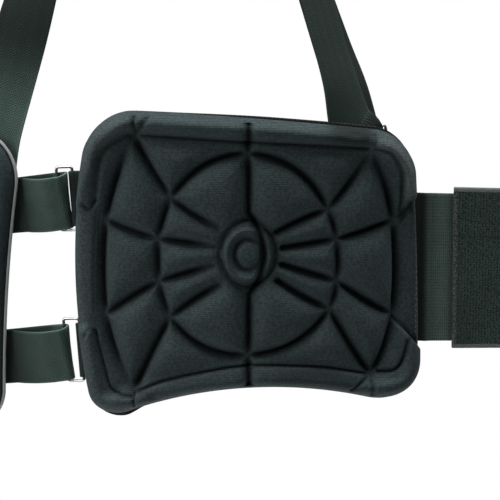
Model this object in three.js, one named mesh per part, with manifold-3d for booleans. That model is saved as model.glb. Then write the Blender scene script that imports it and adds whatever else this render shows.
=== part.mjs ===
// Karting rib protector, opened out for the wearer: two moulded side pads, a back pad and their webbing.
// Millimetres. +X is the wearer's front, +Y the wearer's left, +Z up.
// The origin is on the wearer's centre line, at the height of the side pads' hubs.

import * as THREE from "three";
import Module from "manifold-3d";

const wasm = await Module();
wasm.setup();

const DEGREE = Math.PI / 180;

// Body line: the plan curve that the protector wraps round, from the middle of the back to the front.
const BACK_LINE_X = -140;
const BACK_RADIUS = 210;
const BACK_TURN = 20 * DEGREE;
const GAP_LENGTH = 47;
const SIDE_RADIUS = 314;
const SIDE_FACING = 42 * DEGREE;
const SIDE_REACH = 124;

// Thicknesses, measured outwards from the body line.
const FIT_GAP = 0.3;
const SEAM_GAP = 0.7;
const BACKING_THICKNESS = 3;
const SIDE_PAD_BASE = BACKING_THICKNESS + FIT_GAP;
const SIDE_FACE_LEVEL = 16;
const SIDE_FACE_RADIUS = SIDE_RADIUS + SIDE_FACE_LEVEL;
const BACK_FACE_LEVEL = 14;
const BACK_FACE_RADIUS = BACK_RADIUS + BACK_FACE_LEVEL;
const BACKING_FLANGE = 1.2;
const WEBBING = 1.6;
const ELASTIC = 2;
const PATCH = 2.4;

// Outline of a side pad on its own surface: u forwards and v up from the hub, to the sharp corners.
// bow is how far the edge that starts at the corner swells outwards at its middle.
const SIDE_OUTLINE = [
  { corner: "back_top", u: -109.7, v: 94.3, radius: 30, bow: 4.3 },
  { corner: "front_top", u: 116.3, v: 79.1, radius: 27, bow: 2.2 },
  { corner: "front_low", u: 123, v: -114.4, radius: 39, bow: -25.6 },
  { corner: "back_low", u: -107.9, v: -122.6, radius: 23, bow: 14.7 },
];

// Outline of the back pad: u to the wearer's right and v up, on the same heights.
const BACK_OUTLINE = [
  { corner: "left_top", u: -83, v: 70, radius: 32, bow: 5 },
  { corner: "right_top", u: 83, v: 70, radius: 32, bow: -5 },
  { corner: "right_low", u: 64.5, v: -128, radius: 22, bow: 3 },
  { corner: "left_low", u: -64.5, v: -128, radius: 22, bow: -5 },
];
const EDGE_STEPS = 5;
const CORNER_STEPS = 4;
const CORNER_PULL = 0.55;
const TANGENT_STEP = 1;

// Cross-section of the pads from the outer edge inwards: rise above the pad's base at each inset.
const SIDE_PROFILE = [
  { inset: 0.5, rise: 0 },
  { inset: 0, rise: 4 },
  { inset: 2.5, rise: 9.5 },
  { inset: 7.5, rise: 12.8 },
  { inset: 15, rise: 12 },
];
const BACK_PROFILE = [
  { inset: 1, rise: 0 },
  { inset: 0, rise: 4 },
  { inset: 1.5, rise: 9 },
  { inset: 6, rise: 12.5 },
  { inset: 15, rise: 14 },
];
const PAD_CROWN = 2;
const CROWN_REACH = 70;
const FACE_RINGS = [0.72, 0.38];
const REAR_RINGS = [0.35, 0.65, 0.83];
const HIDDEN_RINGS = [0.55];

// The web pressed into a side pad: the places where its grooves meet, u and v from the hub.
const WEB_POINTS = {
  back_top_corner: { u: -77, v: 79 },
  front_top_corner: { u: 83, v: 71 },
  front_low_corner: { u: 84, v: -83 },
  back_low_corner: { u: -77, v: -93 },
  back_top_knot: { u: -52, v: 39 },
  front_top_knot: { u: 54, v: 31 },
  front_low_knot: { u: 55, v: -38 },
  back_low_knot: { u: -53, v: -42 },
  back_top_side: { u: -98, v: 23 },
  front_top_side: { u: 99, v: 22 },
  front_low_side: { u: 99, v: -43 },
  back_low_side: { u: -97, v: -42 },
  back_top_cross: { u: -61, v: 11 },
  front_top_cross: { u: 59, v: 11 },
  front_low_cross: { u: 60, v: -18 },
  back_low_cross: { u: -61, v: -18 },
  back_top_hub: { u: -20, v: 20 },
  front_top_hub: { u: 19, v: 16 },
  front_low_hub: { u: 19, v: -17 },
  back_low_hub: { u: -20, v: -20 },
  back_upper_hub: { u: -23, v: 7 },
  front_upper_hub: { u: 23, v: 5 },
  front_lower_hub: { u: 22, v: -6 },
  back_lower_hub: { u: -23, v: -6 },
  ring_top: { u: 0, v: 69 },
  ring_low: { u: 0, v: -68 },
  centre_top: { u: 0, v: 95 },
  centre_upper: { u: 0, v: 28 },
  centre_lower: { u: 0, v: -26 },
  centre_low: { u: 0, v: -93 },
  back_top_end: { u: -106, v: 29 },
  front_top_end: { u: 112, v: 33 },
  front_low_end: { u: 115, v: -63 },
  back_low_end: { u: -106, v: -55 },
};

// Grooves of the web: bow is how far the groove swings to its left, going from one place to the other.
const DEEP = { width: 4.6, depth: 3 };
const FINE = { width: 3.4, depth: 1.8 };
const WEB_GROOVES = [
  { from: "back_top_corner", to: "back_top_knot", bow: -1, cut: DEEP },
  { from: "front_top_corner", to: "front_top_knot", bow: 1, cut: DEEP },
  { from: "front_low_corner", to: "front_low_knot", bow: 1, cut: DEEP },
  { from: "back_low_corner", to: "back_low_knot", bow: 1, cut: DEEP },
  { from: "back_top_knot", to: "back_top_hub", bow: -1.5, cut: DEEP },
  { from: "front_top_knot", to: "front_top_hub", bow: -1, cut: DEEP },
  { from: "front_low_knot", to: "front_low_hub", bow: 1, cut: DEEP },
  { from: "back_low_knot", to: "back_low_hub", bow: 1, cut: DEEP },
  { from: "back_top_side", to: "back_top_cross", bow: -1, cut: DEEP },
  { from: "front_top_side", to: "front_top_cross", bow: 1, cut: DEEP },
  { from: "front_low_side", to: "front_low_cross", bow: 1, cut: DEEP },
  { from: "back_low_side", to: "back_low_cross", bow: 1, cut: DEEP },
  { from: "back_top_cross", to: "back_upper_hub", bow: 0, cut: DEEP },
  { from: "front_top_cross", to: "front_upper_hub", bow: 0, cut: DEEP },
  { from: "front_low_cross", to: "front_lower_hub", bow: 0, cut: DEEP },
  { from: "back_low_cross", to: "back_lower_hub", bow: 0, cut: DEEP },
  { from: "back_top_knot", to: "ring_top", bow: 8, cut: DEEP },
  { from: "ring_top", to: "front_top_knot", bow: 10, cut: DEEP },
  { from: "front_low_knot", to: "ring_low", bow: 8, cut: DEEP },
  { from: "ring_low", to: "back_low_knot", bow: 8, cut: DEEP },
  { from: "back_top_knot", to: "back_top_cross", bow: -1, cut: DEEP },
  { from: "back_top_cross", to: "back_low_cross", bow: -0.5, cut: DEEP },
  { from: "back_low_cross", to: "back_low_knot", bow: -1, cut: DEEP },
  { from: "front_top_knot", to: "front_top_cross", bow: 1, cut: DEEP },
  { from: "front_top_cross", to: "front_low_cross", bow: 1, cut: DEEP },
  { from: "front_low_cross", to: "front_low_knot", bow: 1, cut: DEEP },
  { from: "back_top_corner", to: "back_top_side", bow: -2, cut: DEEP },
  { from: "back_top_side", to: "back_low_side", bow: -2, cut: DEEP },
  { from: "back_low_side", to: "back_low_corner", bow: -3, cut: DEEP },
  { from: "front_top_corner", to: "front_top_side", bow: 2, cut: DEEP },
  { from: "front_top_side", to: "front_low_side", bow: 2.5, cut: DEEP },
  { from: "front_low_side", to: "front_low_corner", bow: 2, cut: DEEP },
  { from: "centre_top", to: "centre_upper", bow: 0, cut: DEEP },
  { from: "centre_upper", to: "centre_lower", bow: 11, cut: DEEP },
  { from: "centre_lower", to: "centre_low", bow: 0, cut: DEEP },
  { from: "back_top_corner", to: "front_top_corner", bow: 1.5, cut: FINE },
  { from: "back_low_corner", to: "front_low_corner", bow: 12.5, cut: FINE },
  { from: "back_top_corner", to: "back_top_end", bow: -12, cut: FINE },
  { from: "front_top_corner", to: "front_top_end", bow: 7, cut: FINE },
  { from: "front_low_corner", to: "front_low_end", bow: -8, cut: FINE },
  { from: "back_low_corner", to: "back_low_end", bow: 8, cut: FINE },
];
const GROOVE_STEP = 32;
const STRAIGHT_BOW = 1.2;
const HUB_CIRCLES = [
  { radius: 10, cut: DEEP },
  { radius: 20, cut: FINE },
];
const HUB_SIDES = 12;
const CUTTER_LIFT = 3;

// Adjusters: height of each ring, its distance behind the side pad, and its strap's reach to the back pad.
const ADJUSTERS = [
  { place: "upper", height: 31.7, setBack: 5, reach: 41 },
  { place: "lower", height: -74, setBack: 1, reach: 56 },
];
const ADJUSTER_TILT = 6 * DEGREE;
const ADJUSTER_SKEW = 0.08;
const ADJUSTER_WIDTH = 38;
const SEWN_LENGTH = 16;
const RING_TAB_LENGTH = 22;
const WIRE_RADIUS = 1;
const WIRE_SIDES = 5;
const RING_SPAN = 12;
const RING_HEIGHT = 44;
const RING_BEND = 2;
const RING_BEND_STEPS = 2;
const RING_LEVEL = -2.6;
const LOOP_RADIUS = 4.8;
const LOOP_INSET = 1.5;
const LOOP_STEPS = 6;

// Slack of an adjuster strap between its ring and the back pad: share of the reach, and level outwards.
const SLACK = [
  { part: 0.36, level: 8.5 },
  { part: 0.58, level: 7 },
  { part: 0.78, level: 2.5 },
];
const SLACK_LANDING = 0.92;
const SLACK_STEPS = 13;
const INNER_RUN_SAG = 0.2;
const INNER_RUN_STEPS = 7;

// Tab that holds an adjuster's ring: where its two layers close up behind the bar.
const TAB_NECK = { along: 1.8, lift: 0.9 };
const TAB_CLOSED = 3.4;
const TAB_STEPS = 3;

// Shoulder strap: sewn inside the back pad, at arc length s from the middle of the back.
const SHOULDER_SEWN_LEVEL = -2.3;
const SHOULDER_SEWN = [
  { s: 52, z: 52 },
  { s: 56, z: 74 },
];

// Its route from there over the right shoulder to the side pad's front corner, measured from the hub:
// forwards along the pad, inwards behind its face and up. facing turns the strap's width in plan.
const SHOULDER_ROUTE = [
  { forward: -158, inward: 58, z: 133, facing: 166 },
  { forward: -135, inward: 58, z: 205, facing: 140 },
  { forward: -100, inward: 58, z: 275, facing: 115 },
  { forward: -46, inward: 57, z: 308, facing: 93 },
  { forward: 5, inward: 55, z: 270, facing: 75 },
  { forward: 33, inward: 50, z: 205, facing: 58 },
  { forward: 57.5, inward: 44.1, z: 135, facing: 48 },
  { forward: 66.8, inward: 40.9, z: 108, facing: 42 },
  { forward: 73, inward: 39.6, z: 82, facing: 32 },
];
const SHOULDER_WIDTH = 38;
const SHOULDER_STEPS = 30;
const SHOULDER_RING_WIDTH = 46;
const RETURN_LENGTH = 120;
const RETURN_STEPS = 7;
const RETURN_SHIFT = -2;
const RETURN_SWING = -5;
const RETURN_BULGE = 2.5;
const SHOULDER_TAB_DROP = 34;
const TAB_SEWN = 14;
const TAB_LEG = 6;
const TAB_SAG = 0.8;

// Front belt: elastic sewn behind the pad's front edge, then the wider hook-and-loop patch.
const BELT_MIDDLE = -15;
const BELT_FALL = 0.075;
const ELASTIC_HEIGHT = 102;
const PATCH_HEIGHT = 111;
const ELASTIC_SEWN = 12;
const ELASTIC_RUN = 28;
const PATCH_LAP = 14;
const PATCH_LENGTH = 120;
const BELT_STEP = 9;

const PIPING_RADIUS = 1.3;
const PIPING_SIDES = 5;
const PIPING_LEVEL = 4;

const COLOURS = {
  foam: { color: 0x1b1d21, roughness: 0.85, metalness: 0 },
  backing: { color: 0x151613, roughness: 0.9, metalness: 0 },
  piping: { color: 0x9a9d9a, roughness: 0.6, metalness: 0 },
  webbing: { color: 0x24271f, roughness: 0.8, metalness: 0 },
  elastic: { color: 0x23271f, roughness: 0.85, metalness: 0 },
  patch: { color: 0x1d1f1d, roughness: 0.95, metalness: 0 },
  wire: { color: 0xb9bbb8, roughness: 0.2, metalness: 1 },
};

// Plan of the body line, as stretches that each turn at one rate.
const sideStart = SIDE_FACING - SIDE_REACH / SIDE_FACE_RADIUS;
const sideEnd = SIDE_FACING + SIDE_REACH / SIDE_FACE_RADIUS;
const STRETCHES = [
  { length: BACK_RADIUS * BACK_TURN, turn: BACK_TURN },
  { length: GAP_LENGTH, turn: sideStart - BACK_TURN },
  { length: SIDE_RADIUS * (sideEnd - sideStart), turn: sideEnd - sideStart },
  { length: 2 * PATCH_LENGTH, turn: 0 },
];
const BACK_EDGE = STRETCHES[0].length;
const SIDE_BACK_EDGE = BACK_EDGE + GAP_LENGTH;
const SIDE_MIDDLE = SIDE_BACK_EDGE + SIDE_RADIUS * (SIDE_FACING - sideStart);
const SIDE_FRONT_EDGE = SIDE_BACK_EDGE + STRETCHES[2].length;

// Point at arc length s along the body line, n outwards from it and z up.
function wrap(s, n, z) {
  let left = Math.abs(s);
  let heading = 0;
  let x = BACK_LINE_X;
  let y = 0;
  for (const { length, turn } of STRETCHES) {
    const part = Math.min(left, length);
    const swept = (turn * part) / length;
    const middle = heading + swept / 2;
    const chord = swept > 0 ? (part * Math.sin(swept / 2)) / (swept / 2) : part;
    x += chord * Math.sin(middle);
    y -= chord * Math.cos(middle);
    heading += swept;
    left -= part;
  }
  const point = new THREE.Vector3(x - n * Math.cos(heading), y - n * Math.sin(heading), z);
  return s < 0 ? point.multiply(new THREE.Vector3(1, -1, 1)) : point;
}

const onSide = (u, v, n) => wrap(SIDE_MIDDLE + (u * SIDE_RADIUS) / SIDE_FACE_RADIUS, n, v);
const onBack = (u, v, n) => wrap((u * BACK_RADIUS) / BACK_FACE_RADIUS, n, v);

// Point measured from the hub of the side pad: forwards along it, inwards behind its face and up.
function fromHub(forward, inward, z) {
  const hub = wrap(SIDE_MIDDLE, SIDE_FACE_LEVEL, z);
  const ahead = new THREE.Vector3(Math.sin(SIDE_FACING), -Math.cos(SIDE_FACING), 0);
  const behind = new THREE.Vector3(Math.cos(SIDE_FACING), Math.sin(SIDE_FACING), 0);
  return hub.addScaledVector(ahead, forward).addScaledVector(behind, inward);
}

// Way out of the surface that place gives, at a point of it.
const wayOut = (place, p, level) => place(p.x, p.y, level + 1).sub(place(p.x, p.y, level));

// A closed body through rings of points; an open row of rings is capped at both ends.
function loft(rings, { closed = false } = {}) {
  const count = rings[0].length;
  const points = rings.flat();
  const triangles = [];
  const last = closed ? rings.length : rings.length - 1;
  for (let r = 0; r < last; r += 1) {
    const here = r * count;
    const next = ((r + 1) % rings.length) * count;
    for (let i = 0; i < count; i += 1) {
      const j = (i + 1) % count;
      triangles.push(here + i, next + i, next + j, here + i, next + j, here + j);
    }
  }
  if (!closed) {
    cap(points, triangles, 0, count, false);
    cap(points, triangles, (rings.length - 1) * count, count, true);
  }
  return outward(points, triangles);
}

// Fan of triangles from a ring's middle to its points.
function cap(points, triangles, start, count, end) {
  const middle = new THREE.Vector3();
  for (let i = 0; i < count; i += 1) {
    middle.addScaledVector(points[start + i], 1 / count);
  }
  points.push(middle);
  for (let i = 0; i < count; i += 1) {
    const a = start + i;
    const b = start + ((i + 1) % count);
    triangles.push(points.length - 1, end ? b : a, end ? a : b);
  }
}

// Geometry from points and triangles, turned so that its faces point out.
function outward(points, triangles) {
  let volume = 0;
  const cross = new THREE.Vector3();
  for (let t = 0; t < triangles.length; t += 3) {
    const [a, b, c] = triangles.slice(t, t + 3).map((index) => points[index]);
    volume += a.dot(cross.crossVectors(b, c));
  }
  const geometry = new THREE.BufferGeometry().setFromPoints(points);
  geometry.setIndex(volume < 0 ? flipped(triangles) : triangles);
  return geometry;
}

function flipped(triangles) {
  const turned = Array.from(triangles);
  for (let t = 0; t < turned.length; t += 3) {
    [turned[t + 1], turned[t + 2]] = [turned[t + 2], turned[t + 1]];
  }
  return turned;
}

// The same piece for the wearer's other side.
function mirrored(geometry) {
  const copy = geometry.clone();
  copy.scale(1, -1, 1);
  copy.setIndex(flipped(geometry.index.array));
  return copy;
}

function toManifold(geometry) {
  return new wasm.Manifold(new wasm.Mesh({
    numProp: 3,
    vertProperties: new Float32Array(geometry.attributes.position.array),
    triVerts: new Uint32Array(geometry.index.array),
  }));
}

function fromManifold(body) {
  const mesh = body.getMesh();
  const geometry = new THREE.BufferGeometry();
  geometry.setAttribute("position", new THREE.BufferAttribute(mesh.vertProperties, mesh.numProp));
  geometry.setIndex(Array.from(mesh.triVerts));
  return geometry;
}

// Point on the edge from one corner to the next, which swells by bow at its middle.
function bowedEdge(a, b, bow, t) {
  const along = new THREE.Vector2(b.u - a.u, b.v - a.v);
  const out = new THREE.Vector2(-along.y, along.x).normalize();
  return new THREE.Vector2(a.u, a.v)
    .addScaledVector(along, t)
    .addScaledVector(out, 4 * bow * t * (1 - t));
}

// Rounded outline through the corners of a table, clockwise seen from outside.
function outlinePoints(corners) {
  const points = [];
  corners.forEach((a, index) => {
    const b = corners[(index + 1) % corners.length];
    const c = corners[(index + 2) % corners.length];
    const length = Math.hypot(b.u - a.u, b.v - a.v);
    const nextLength = Math.hypot(c.u - b.u, c.v - b.v);
    for (let i = 0; i <= EDGE_STEPS; i += 1) {
      const t = THREE.MathUtils.lerp(a.radius / length, 1 - b.radius / length, i / EDGE_STEPS);
      points.push(bowedEdge(a, b, a.bow, t));
    }
    const leave = points[points.length - 1];
    const before = bowedEdge(a, b, a.bow, 1 - (b.radius + TANGENT_STEP) / length);
    const arrive = bowedEdge(b, c, b.bow, b.radius / nextLength);
    const after = bowedEdge(b, c, b.bow, (b.radius + TANGENT_STEP) / nextLength);
    const pull = CORNER_PULL * b.radius;
    const bend = new THREE.CubicBezierCurve(
      leave,
      leave.clone().addScaledVector(leave.clone().sub(before).normalize(), pull),
      arrive.clone().addScaledVector(arrive.clone().sub(after).normalize(), pull),
      arrive,
    );
    points.push(...bend.getPoints(CORNER_STEPS).slice(1, -1));
  });
  return points;
}

// The outline moved inwards by a distance; a negative distance moves it outwards.
function insetOutline(points, distance) {
  return points.map((point, i) => {
    const before = points[(i + points.length - 1) % points.length];
    const after = points[(i + 1) % points.length];
    const along = after.clone().sub(before).normalize();
    return new THREE.Vector2(point.x + along.y * distance, point.y - along.x * distance);
  });
}

// Distance from a place on the pad to its outline.
function edgeDistance(points, u, v) {
  const place = new THREE.Vector3(u, v, 0);
  const near = new THREE.Vector3();
  let best = Infinity;
  points.forEach((point, i) => {
    const next = points[(i + 1) % points.length];
    const side = new THREE.Line3(
      new THREE.Vector3(point.x, point.y, 0),
      new THREE.Vector3(next.x, next.y, 0),
    );
    side.closestPointToPoint(place, true, near);
    best = Math.min(best, near.distanceTo(place));
  });
  return best;
}

// Height of a pad's face above its base at a distance from its edge.
function faceRise(profile, distance) {
  const inner = profile[profile.length - 1];
  if (distance >= inner.inset) {
    const t = Math.min(1, (distance - inner.inset) / CROWN_REACH);
    return inner.rise + PAD_CROWN * t * (2 - t);
  }
  const index = Math.max(2, profile.findIndex((row) => row.inset > distance));
  const a = profile[index - 1];
  const b = profile[index];
  return THREE.MathUtils.lerp(a.rise, b.rise, (distance - a.inset) / (b.inset - a.inset));
}

// A padded solid with a rounded edge and a crowned face, on the surface that place gives.
function padSolid(corners, profile, base, place, rearRings) {
  const edge = outlinePoints(corners);
  const inner = insetOutline(edge, profile[profile.length - 1].inset);
  const ring = (points, scale, level) => points.map((p) => {
    return place(p.x * scale, p.y * scale, level(p, scale));
  });
  const face = (p, scale) => base + faceRise(profile, edgeDistance(edge, p.x * scale, p.y * scale));
  return loft([
    ...rearRings.map((scale) => ring(edge, scale, () => base)),
    ...profile.map((row) => ring(insetOutline(edge, row.inset), 1, () => base + row.rise)),
    ...FACE_RINGS.map((scale) => ring(inner, scale, face)),
  ]);
}

// V-shaped cutter along places on the side pad's face.
function grooveCutter(places, cut, closed = false) {
  const edge = outlinePoints(SIDE_OUTLINE);
  const count = places.length;
  const rings = places.map((p, i) => {
    const before = places[closed ? (i + count - 1) % count : Math.max(0, i - 1)];
    const after = places[closed ? (i + 1) % count : Math.min(count - 1, i + 1)];
    const along = after.clone().sub(before).normalize();
    const level = SIDE_PAD_BASE + faceRise(SIDE_PROFILE, edgeDistance(edge, p.x, p.y));
    const reach = (cut.width / 2) * (1 + CUTTER_LIFT / cut.depth);
    const corner = (side, lift) => {
      return onSide(p.x - along.y * reach * side, p.y + along.x * reach * side, level + lift);
    };
    return [corner(0, -cut.depth), corner(1, CUTTER_LIFT), corner(-1, CUTTER_LIFT)];
  });
  return toManifold(loft(rings, { closed }));
}

function grooveCutters() {
  const lines = WEB_GROOVES.map(({ from, to, bow, cut }) => {
    const a = WEB_POINTS[from];
    const b = WEB_POINTS[to];
    const bends = Math.abs(bow) > STRAIGHT_BOW ? 2 : 1;
    const steps = Math.max(bends, Math.round(Math.hypot(b.u - a.u, b.v - a.v) / GROOVE_STEP));
    const places = Array.from({ length: steps + 1 }, (_, i) => bowedEdge(a, b, bow, i / steps));
    return grooveCutter(places, cut);
  });
  const circles = HUB_CIRCLES.map(({ radius, cut }) => {
    const places = Array.from({ length: HUB_SIDES }, (_, i) => {
      const angle = (2 * Math.PI * i) / HUB_SIDES;
      return new THREE.Vector2(radius * Math.cos(angle), radius * Math.sin(angle));
    });
    return grooveCutter(places, cut, true);
  });
  return [...lines, ...circles];
}

function sidePad() {
  const blank = toManifold(padSolid(SIDE_OUTLINE, SIDE_PROFILE, SIDE_PAD_BASE, onSide, HIDDEN_RINGS));
  const web = grooveCutters().reduce((all, cutter) => all.add(cutter));
  return fromManifold(blank.subtract(web));
}

function sideBacking() {
  const edge = outlinePoints(SIDE_OUTLINE);
  const flange = insetOutline(edge, -BACKING_FLANGE);
  const ring = (points, scale, n) => points.map((p) => onSide(p.x * scale, p.y * scale, n));
  return loft([
    ...HIDDEN_RINGS.map((scale) => ring(edge, scale, BACKING_THICKNESS)),
    ring(insetOutline(edge, SIDE_PROFILE[0].inset), 1, BACKING_THICKNESS),
    ring(flange, 1, BACKING_THICKNESS),
    ring(flange, 1, 0),
    ...REAR_RINGS.map((scale) => ring(edge, scale, 0)).reverse(),
  ]);
}

function backPad() {
  return padSolid(BACK_OUTLINE, BACK_PROFILE, 0, onBack, REAR_RINGS);
}

// Round bar along points, with the section turned by the direction that out gives at each point.
function roundBar(points, outs, radius, sides, closed) {
  const count = points.length;
  return loft(points.map((point, i) => {
    const before = points[closed ? (i + count - 1) % count : Math.max(0, i - 1)];
    const after = points[closed ? (i + 1) % count : Math.min(count - 1, i + 1)];
    const along = after.clone().sub(before).normalize();
    const side = new THREE.Vector3().crossVectors(along, outs[i]).normalize();
    const out = new THREE.Vector3().crossVectors(side, along);
    return Array.from({ length: sides }, (_, k) => {
      const angle = (2 * Math.PI * k) / sides;
      return point.clone()
        .addScaledVector(out, radius * Math.cos(angle))
        .addScaledVector(side, radius * Math.sin(angle));
    });
  }), { closed });
}

function backPiping() {
  const offset = -(PIPING_RADIUS + FIT_GAP);
  const edge = insetOutline(outlinePoints(BACK_OUTLINE), offset);
  const points = edge.map((p) => onBack(p.x, p.y, PIPING_LEVEL));
  const outs = edge.map((p) => wayOut(onBack, p, PIPING_LEVEL));
  return roundBar(points, outs, PIPING_RADIUS, PIPING_SIDES, true);
}

// Flat strap through stations that each have a point and the direction of the strap's width.
function ribbon(stations, width, thickness) {
  return loft(stations.map(({ point, across }, i) => {
    const before = stations[Math.max(0, i - 1)].point;
    const after = stations[Math.min(stations.length - 1, i + 1)].point;
    const along = after.clone().sub(before).normalize();
    const side = across.clone().addScaledVector(along, -across.dot(along)).normalize();
    const out = new THREE.Vector3().crossVectors(along, side);
    const corner = (w, t) => point.clone()
      .addScaledVector(side, (w * width) / 2)
      .addScaledVector(out, (t * thickness) / 2);
    return [corner(-1, -1), corner(1, -1), corner(1, 1), corner(-1, 1)];
  }));
}

// Half turn in a strap: from the inner layer round a bar to the outer layer.
function halfTurn(centre, radius, steps, opening) {
  return Array.from({ length: steps + 1 }, (_, i) => {
    const angle = -Math.PI / 2 + (opening * Math.PI * i) / steps;
    return new THREE.Vector2(centre.x + radius * Math.cos(angle), centre.y + radius * Math.sin(angle));
  });
}

// Layout of one adjuster: a along the strap from the ring's front bar, w across it and n outwards.
function adjusterLayout({ height, setBack }) {
  const origin = SIDE_BACK_EDGE - setBack;
  const cos = Math.cos(ADJUSTER_TILT);
  const sin = Math.sin(ADJUSTER_TILT);
  return (a, w, n) => wrap(origin + a * cos - w * sin, n, height + a * sin + w * cos);
}

// Strap along a path of places in a layout; skew lets it slide sideways as it goes.
function layoutRibbon(layout, path, skew) {
  const stations = path.map((p) => ({
    point: layout(p.x, skew * p.x, p.y),
    across: layout(p.x, 1, p.y).sub(layout(p.x, -1, p.y)),
  }));
  return ribbon(stations, ADJUSTER_WIDTH, WEBBING);
}

// Levels of the two webbing layers that lie on the inner face of a pad.
const OUTER_LAYER = -(SEAM_GAP + WEBBING / 2);
const INNER_LAYER = OUTER_LAYER - WEBBING - FIT_GAP;
const RING_LAYER = RING_LEVEL - WIRE_RADIUS - FIT_GAP - WEBBING / 2;

function adjusterStrap(row) {
  const { reach } = row;
  const loop = new THREE.Vector2(-RING_SPAN + LOOP_INSET, RING_LAYER + LOOP_RADIUS);
  const outerRun = new THREE.SplineCurve([
    new THREE.Vector2(loop.x, loop.y + LOOP_RADIUS),
    ...SLACK.map(({ part, level }) => new THREE.Vector2(-part * reach, level)),
    new THREE.Vector2(-SLACK_LANDING * reach, OUTER_LAYER),
    new THREE.Vector2(-reach, OUTER_LAYER),
    new THREE.Vector2(-reach - SEWN_LENGTH, OUTER_LAYER),
  ]);
  const innerRun = new THREE.SplineCurve([
    new THREE.Vector2(-reach - SEWN_LENGTH, INNER_LAYER),
    new THREE.Vector2(-reach, INNER_LAYER),
    new THREE.Vector2(-reach / 2, RING_LAYER - INNER_RUN_SAG),
    new THREE.Vector2(loop.x, RING_LAYER),
  ]);
  const path = [
    ...innerRun.getPoints(INNER_RUN_STEPS).slice(0, -1),
    ...halfTurn(loop, LOOP_RADIUS, LOOP_STEPS, 1),
    ...outerRun.getPoints(SLACK_STEPS).slice(1),
  ];
  return layoutRibbon(adjusterLayout(row), path, ADJUSTER_SKEW);
}

function ringTab(row) {
  const bar = new THREE.Vector2(0, RING_LEVEL);
  const radius = WIRE_RADIUS + FIT_GAP + WEBBING / 2;
  const rootward = (level) => Array.from({ length: TAB_STEPS + 1 }, (_, i) => {
    return new THREE.Vector2(THREE.MathUtils.lerp(TAB_CLOSED, RING_TAB_LENGTH, i / TAB_STEPS), level);
  });
  const path = [
    ...rootward(INNER_LAYER).reverse(),
    ...halfTurn(bar, radius, LOOP_STEPS, -1),
    new THREE.Vector2(TAB_NECK.along, OUTER_LAYER + TAB_NECK.lift),
    ...rootward(OUTER_LAYER),
  ];
  return layoutRibbon(adjusterLayout(row), path, 0);
}

// Rounded rectangle of wire, in its own plane: span along x from 0 back, height along y.
function ringLoop(span, height) {
  const side = span / 2 - RING_BEND;
  const top = height / 2 - RING_BEND;
  const corners = [[1, 1], [-1, 1], [-1, -1], [1, -1]];
  return corners.flatMap(([x, y], quarter) => {
    const bend = new THREE.EllipseCurve(
      side * x - span / 2, top * y, RING_BEND, RING_BEND,
      (quarter * Math.PI) / 2, ((quarter + 1) * Math.PI) / 2,
    );
    return bend.getPoints(RING_BEND_STEPS);
  });
}

function adjusterRing(row) {
  const layout = adjusterLayout(row);
  const loop = ringLoop(RING_SPAN, RING_HEIGHT);
  const points = loop.map((p) => layout(p.x, p.y, RING_LEVEL));
  const outs = loop.map((p) => wayOut(layout, p, RING_LEVEL));
  return roundBar(points, outs, WIRE_RADIUS, WIRE_SIDES, true);
}

// Shoulder strap route as a curve of points and a curve of facing angles with the same parameter.
const routeCurve = new THREE.CatmullRomCurve3([
  ...SHOULDER_SEWN.map(({ s, z }) => wrap(s, SHOULDER_SEWN_LEVEL, z)),
  ...SHOULDER_ROUTE.map(({ forward, inward, z }) => fromHub(forward, inward, z)),
]);
const facingCurve = new THREE.CatmullRomCurve3([
  ...SHOULDER_SEWN.map(({ s }) => new THREE.Vector3(Math.PI / 2 + s / BACK_RADIUS, 0, 0)),
  ...SHOULDER_ROUTE.map(({ facing }) => {
    return new THREE.Vector3(facing * DEGREE + SIDE_FACING - Math.PI / 2, 0, 0);
  }),
]);

// Frame of the strap at a parameter: its point, its direction, its width and the way that it faces.
function shoulderFrame(t) {
  const facing = facingCurve.getPoint(t).x;
  const along = routeCurve.getTangent(t);
  const across = new THREE.Vector3(Math.cos(facing), Math.sin(facing), 0);
  across.addScaledVector(along, -across.dot(along)).normalize();
  const out = new THREE.Vector3().crossVectors(along, across);
  return { point: routeCurve.getPoint(t), along, across, out };
}

const SHOULDER_END = shoulderFrame(1);
const BAR_CLEARANCE = WIRE_RADIUS + SEAM_GAP + WEBBING / 2;
const SHOULDER_BAR = SHOULDER_END.point.clone().addScaledVector(SHOULDER_END.out, BAR_CLEARANCE);

function shoulderStrap() {
  const stations = [];
  for (let i = 0; i <= SHOULDER_STEPS; i += 1) {
    stations.push(shoulderFrame(i / SHOULDER_STEPS));
  }
  const { along, across, out } = SHOULDER_END;
  for (let i = 1; i <= LOOP_STEPS; i += 1) {
    const angle = (Math.PI * i) / LOOP_STEPS;
    const point = SHOULDER_BAR.clone()
      .addScaledVector(out, -BAR_CLEARANCE * Math.cos(angle))
      .addScaledVector(along, BAR_CLEARANCE * Math.sin(angle))
      .addScaledVector(across, (RETURN_SHIFT * i) / LOOP_STEPS);
    stations.push({ point, across });
  }
  const total = routeCurve.getLength();
  for (let i = 1; i <= RETURN_STEPS; i += 1) {
    const part = i / RETURN_STEPS;
    const t = routeCurve.getUtoTmapping(1 - (RETURN_LENGTH * part) / total);
    const frame = shoulderFrame(t);
    const seated = THREE.MathUtils.lerp(2 * BAR_CLEARANCE, WEBBING + FIT_GAP, part);
    const lift = seated + RETURN_BULGE * Math.sin(Math.PI * part);
    const swing = RETURN_SHIFT + RETURN_SWING * Math.sin(Math.PI * part);
    frame.point.addScaledVector(frame.out, lift).addScaledVector(frame.across, swing);
    stations.push(frame);
  }
  return ribbon(stations, SHOULDER_WIDTH, WEBBING);
}

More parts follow.
